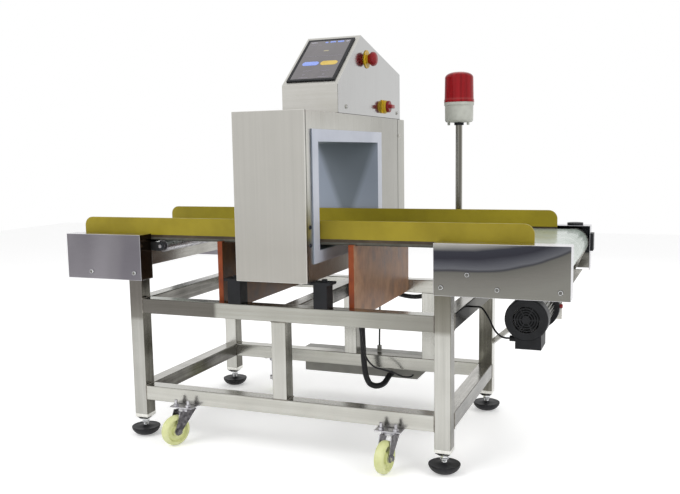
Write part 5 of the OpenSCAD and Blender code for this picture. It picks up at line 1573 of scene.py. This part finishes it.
@dataclass
class ControlBox:
    """Sloped control box with its screen, stop button and isolator.

    Each bar of the screen has its finish, left and right side, and lower and upper side.
    """

    corner_mm: Point = (478.0, 252.2, 1193.2)
    slope_deg: float = 38.08
    glass_mm: float = 4.5
    trim_share: tuple = (8.0, 5.0, 0.956, 0.952)
    box_screw: SocketScrew = SocketScrew(14.6, 4.4, 7.0)
    screws_mm: tuple = ((674.8, 323.0, 1114.0), (674.8, 891.0, 1114.0))
    stop_mm: Point = (675.0, 533.0, 1290.0)
    isolator_mm: Point = (675.0, 719.0, 1131.0)
    mushroom: tuple = ((0, 9.4), (6.2, 9.4), (6.2, 20.4), (15.8, 20.4), (15.8, 9.8), (17.4, 9.8),
                       (18.6, 13), (21, 17), (24.2, 19.6), (25, 22), (25, 26), (24.2, 30),
                       (21.5, 34.2), (16.5, 37.4), (10, 39.2), (0, 39.8))
    boss: tuple = ((0, 2), (24, 2), (24, 11), (22.6, 14.6), (21, 15.6), (8, 15.6), (0, 15.6))
    knob: tuple = ((0, 16.2), (21, 16.2), (22, 17.4), (22, 25), (20.6, 27), (0, 27))
    grip_mm: tuple = ((-7.0, -21.0, 24.2), (7.0, 21.0, 39.8))
    front_turned: float = 0.3
    bar_z_mm: tuple = (-0.05, 0.25)
    bar_end: float = 0.48
    bars: tuple = (
        (Finish.DISPLAY_BLUE, 34.0, 94.5, 95.5, 119.5),
        (Finish.DISPLAY_YELLOW, 100.5, 163.0, 95.0, 120.5),
        (Finish.DISPLAY_BLUE, 77.8, 89.7, 236.5, 244.5),
        (Finish.DISPLAY_BLUE, 96.2, 117.7, 237.5, 246.0),
        (Finish.DISPLAY_BLUE, 123.9, 148.7, 237.0, 246.5),
        (Finish.DISPLAY_PALE, 155.5, 169.4, 237.0, 246.5),
        (Finish.DISPLAY_PALE, 25.8, 48.5, 239.4, 244.0), (Finish.DISPLAY_DIM, 32.4, 49.7, 219.7, 224.2),
        (Finish.DISPLAY_DIM, 58.9, 68.2, 221.4, 226.0), (Finish.DISPLAY_WARM, 88.5, 107.2, 182.5, 189.5),
        (Finish.DISPLAY_DIM, 28.9, 165.5, 151.5, 153.5), (Finish.DISPLAY_DIM, 50.7, 83.8, 61.1, 64.5),
        (Finish.DISPLAY_DIM, 115.3, 145.3, 59.3, 62.6), (Finish.DISPLAY_DIM, 56.1, 66.2, 36.8, 43.0),
        (Finish.DISPLAY_DIM, 127.3, 137.2, 36.0, 42.0), (Finish.DISPLAY_DIM, 45.9, 82.5, 20.5, 23.9),
        (Finish.DISPLAY_DIM, 116.6, 153.7, 22.0, 26.0))

    def box_faces(self, centre: Vector, normal: Vector) -> Finish:
        """Chooses the front, a warmer and lighter copy in painted light, and the plain grey side."""
        return Finish.BOX_FRONT if normal.y < -self.front_turned else Finish.SHEET_BOX

    def bar(self, finish: Finish, left: float, right: float, low: float, high: float) -> Piece:
        """Makes one lit bar of the screen with round ends, flat on the glass.

        Args:
            finish: Its finish.
            left: Its left side in millimetres along the glass.
            right: Its right side.
            low: Its lower side in millimetres up the glass.
            high: Its upper side.

        Returns:
            The bar, on the glass's own frame.
        """
        under, over = self.bar_z_mm
        bar = slab((left, low, under), (right, high, over), HERE)
        with editing(bar):
            select(bar, "EDGE", lambda e: e.verts[0].co.xy == e.verts[1].co.xy)
            bpy.ops.mesh.bevel(offset=(high - low) * self.bar_end * MM, segments=5)
        return paint(bar, finish)

    def slope(self) -> Matrix:
        """Gives the frame of the sloped face, at the lower left corner of the bezel."""
        tilt = Matrix.Rotation(math.radians(self.slope_deg), 4, "X")
        return Matrix.Translation(place(*self.corner_mm)) @ tilt

    def trim(self, obj: Piece) -> None:
        """Draws the bezel and the glass in to the size that the photograph shows."""
        left, low, wide, high = self.trim_share
        shrink = Matrix.Translation((left * MM, low * MM, 0)) @ Matrix.Diagonal((wide, high, 1, 1))
        obj.data.transform(self.slope() @ shrink @ self.slope().inverted())

    def switches(self) -> None:
        """Makes the mushroom button, and the isolator's boss and handle."""
        at = Matrix.Translation(place(*self.stop_mm)) @ ALONG_X
        button = lathe(self.mushroom, 48)
        button.data.transform(at)
        mount(button, "stop_mushroom", "stop_button", Finish.RED)
        at = Matrix.Translation(place(*self.isolator_mm)) @ ALONG_X
        boss = lathe(self.boss)
        boss.data.transform(at)
        mount(boss, "isolator_boss", "switch_bases", Finish.YELLOW, stands_in=False)
        knob = lathe(self.knob)
        grip = slab(*self.grip_mm, HERE)
        bevel(grip, 2.5, 3)
        handle = join([knob, grip])
        smooth(handle)
        handle.data.transform(at)
        mount(handle, "isolator_knob", "isolator_handle", Finish.RED)

    def display(self) -> None:
        """Lays the plain bars that stand for the screen's words."""
        picture = join([self.bar(*bar) for bar in self.bars])
        picture.data.transform(self.slope() @ Matrix.Translation((0, 0, self.glass_mm * MM)))
        mount(picture, "screen_bars", "touch_screen", stands_in=False)

    def screws(self) -> None:
        """Makes both dark button heads on the side of the box."""
        spots = [Matrix.Translation(place(*at)) @ ALONG_X for at in self.screws_mm]
        row = paint(copies(self.box_screw.make(), spots), Finish.DARK_SCREW)
        mount(row, "box_screws", "control_box", stands_in=False)

    def build(self) -> None:
        """Dresses the box and its switches."""
        # The box's rounded edges take the paler copy, a painted highlight
        rounded("control_box", Finish.SHEET_BOX, 2.0, 3, faces=self.box_faces,
                edge=Finish.SHEET_EDGE)
        self.screws()
        self.trim(rounded("screen_bezel", Finish.BLACK_PLASTIC, 1.0, 3))
        self.trim(rounded("touch_screen", Finish.GLASS, 0.4))
        self.display()
        rounded("switch_bases", Finish.YELLOW)
        self.switches()


@dataclass
class Beacon:
    """Pole, moulded base and ribbed red lens over a turning reflector."""

    foot_mm: Point = (968.0, 720.0, 0.0)
    body: tuple = ((0, 1064), (42, 1064), (47, 1065.4), (50.4, 1069), (51.4, 1075), (52, 1124),
                   (54.6, 1126), (54.8, 1136.6), (46, 1136.8), (12, 1136.8), (12, 1184),
                   (9, 1190), (0, 1192))
    collar: tuple = ((16.2, 1054), (17.6, 1055), (17.6, 1064.4), (16.2, 1064.4), (16.2, 1054))
    screw: tuple = ((0, 1054), (4, 1054), (5, 1056), (5, 1064.4), (0, 1064.4))
    screws_mm: tuple = ((-36.0, -10.0), (36.0, -10.0))

    def base(self) -> None:
        """Makes the base with its rim, lamp post, collar and two fixing screws."""
        parts = [paint(lathe(self.body, 56), Finish.BEACON_GREY),
                 paint(lathe(self.collar, 32), Finish.DARK_SCREW)]
        for x, y in self.screws_mm:
            screw = lathe(self.screw, 20)
            screw.data.transform(Matrix.Translation((x * MM, y * MM, 0)))
            parts.append(paint(screw, Finish.BEACON_GREY))
        base = join(parts)
        base.data.transform(Matrix.Translation(place(*self.foot_mm)))
        mount(base, "beacon_base_moulding", "beacon_base")

    def build(self) -> None:
        """Dresses the beacon."""
        rounded("beacon_pole", Finish.PIPE, 0.6)
        self.base()
        rounded("beacon_lens", Finish.LENS, 0.5)
        rounded("beacon_reflector", Finish.CHROME, 0.3)


@dataclass
class Drive:
    """Gearmotor under the outfeed end with its plate, chain and casing."""

    cap_mm: Point = (1376.5, 388.0, 458.0)
    cap_profile: tuple = ((0, -2), (6.2, -2), (7, -1), (7, 7), (6.2, 8.6), (4, 9.4), (0, 9.6))
    axis_mm: Point = (1305.0, 150.0, 455.0)
    ring_y_mm: float = 369.8
    cover_wider: float = 1.032

    def motor_faces(self, centre: Vector, normal: Vector) -> Finish:
        """Chooses black for the end ring and cast alloy for the body."""
        return Finish.BLACK_COAT if centre.y > self.ring_y_mm else Finish.CAST

    def cap(self) -> None:
        """Makes the small red vent cap on the end ring."""
        cap = lathe(self.cap_profile, 24)
        cap.data.transform(Matrix.Translation(place(*self.cap_mm)) @ ALONG_X)
        mount(cap, "vent_cap", "motor_body", Finish.RED, stands_in=False)

    def cover(self) -> None:
        """Makes the fan cover, a little wider than the solid, as the photograph shows it."""
        cover = rounded("fan_cover", Finish.BLACK_PLASTIC, 0.5)
        axis = Matrix.Translation(place(*self.axis_mm))
        wider = Matrix.Diagonal((self.cover_wider, 1.0, self.cover_wider, 1.0))
        cover.data.transform(axis @ wider @ axis.inverted())

    def build(self) -> None:
        """Dresses the drive."""
        rounded("motor_body", Finish.CAST, 0.6, faces=self.motor_faces)
        self.cap()
        rounded("gearbox", Finish.CAST, 1.2)
        for node in ("motor_sprocket", "drive_chain"):
            rounded(node, Finish.DARK_IRON, 0.4)
        self.cover()
        rounded("motor_fan", Finish.BLACK_PLASTIC, 0.4)
        rounded("terminal_box", Finish.BLACK_COAT, 1.2)
        rounded("motor_plate", Finish.TUBE_CROSS)
        rounded("chain_casing", Finish.TUBE_CROSS, 1.0)
        rounded("cable_box", Finish.GREY_COAT, 1.4, 3)


def main() -> None:
    """Builds the stage, the cords and each sub-assembly in turn."""
    logging.basicConfig(level=logging.INFO, format="%(message)s")
    for assembly in (Studio(), Cables(), TubeFrame(), Conveyor(), SearchHead(), ControlBox(),
                     Beacon(), Drive()):
        assembly.build()
        LOG.info("%s is done", type(assembly).__name__)
    bpy.ops.object.select_all(action="DESELECT")


if __name__ == "__main__":
    main()
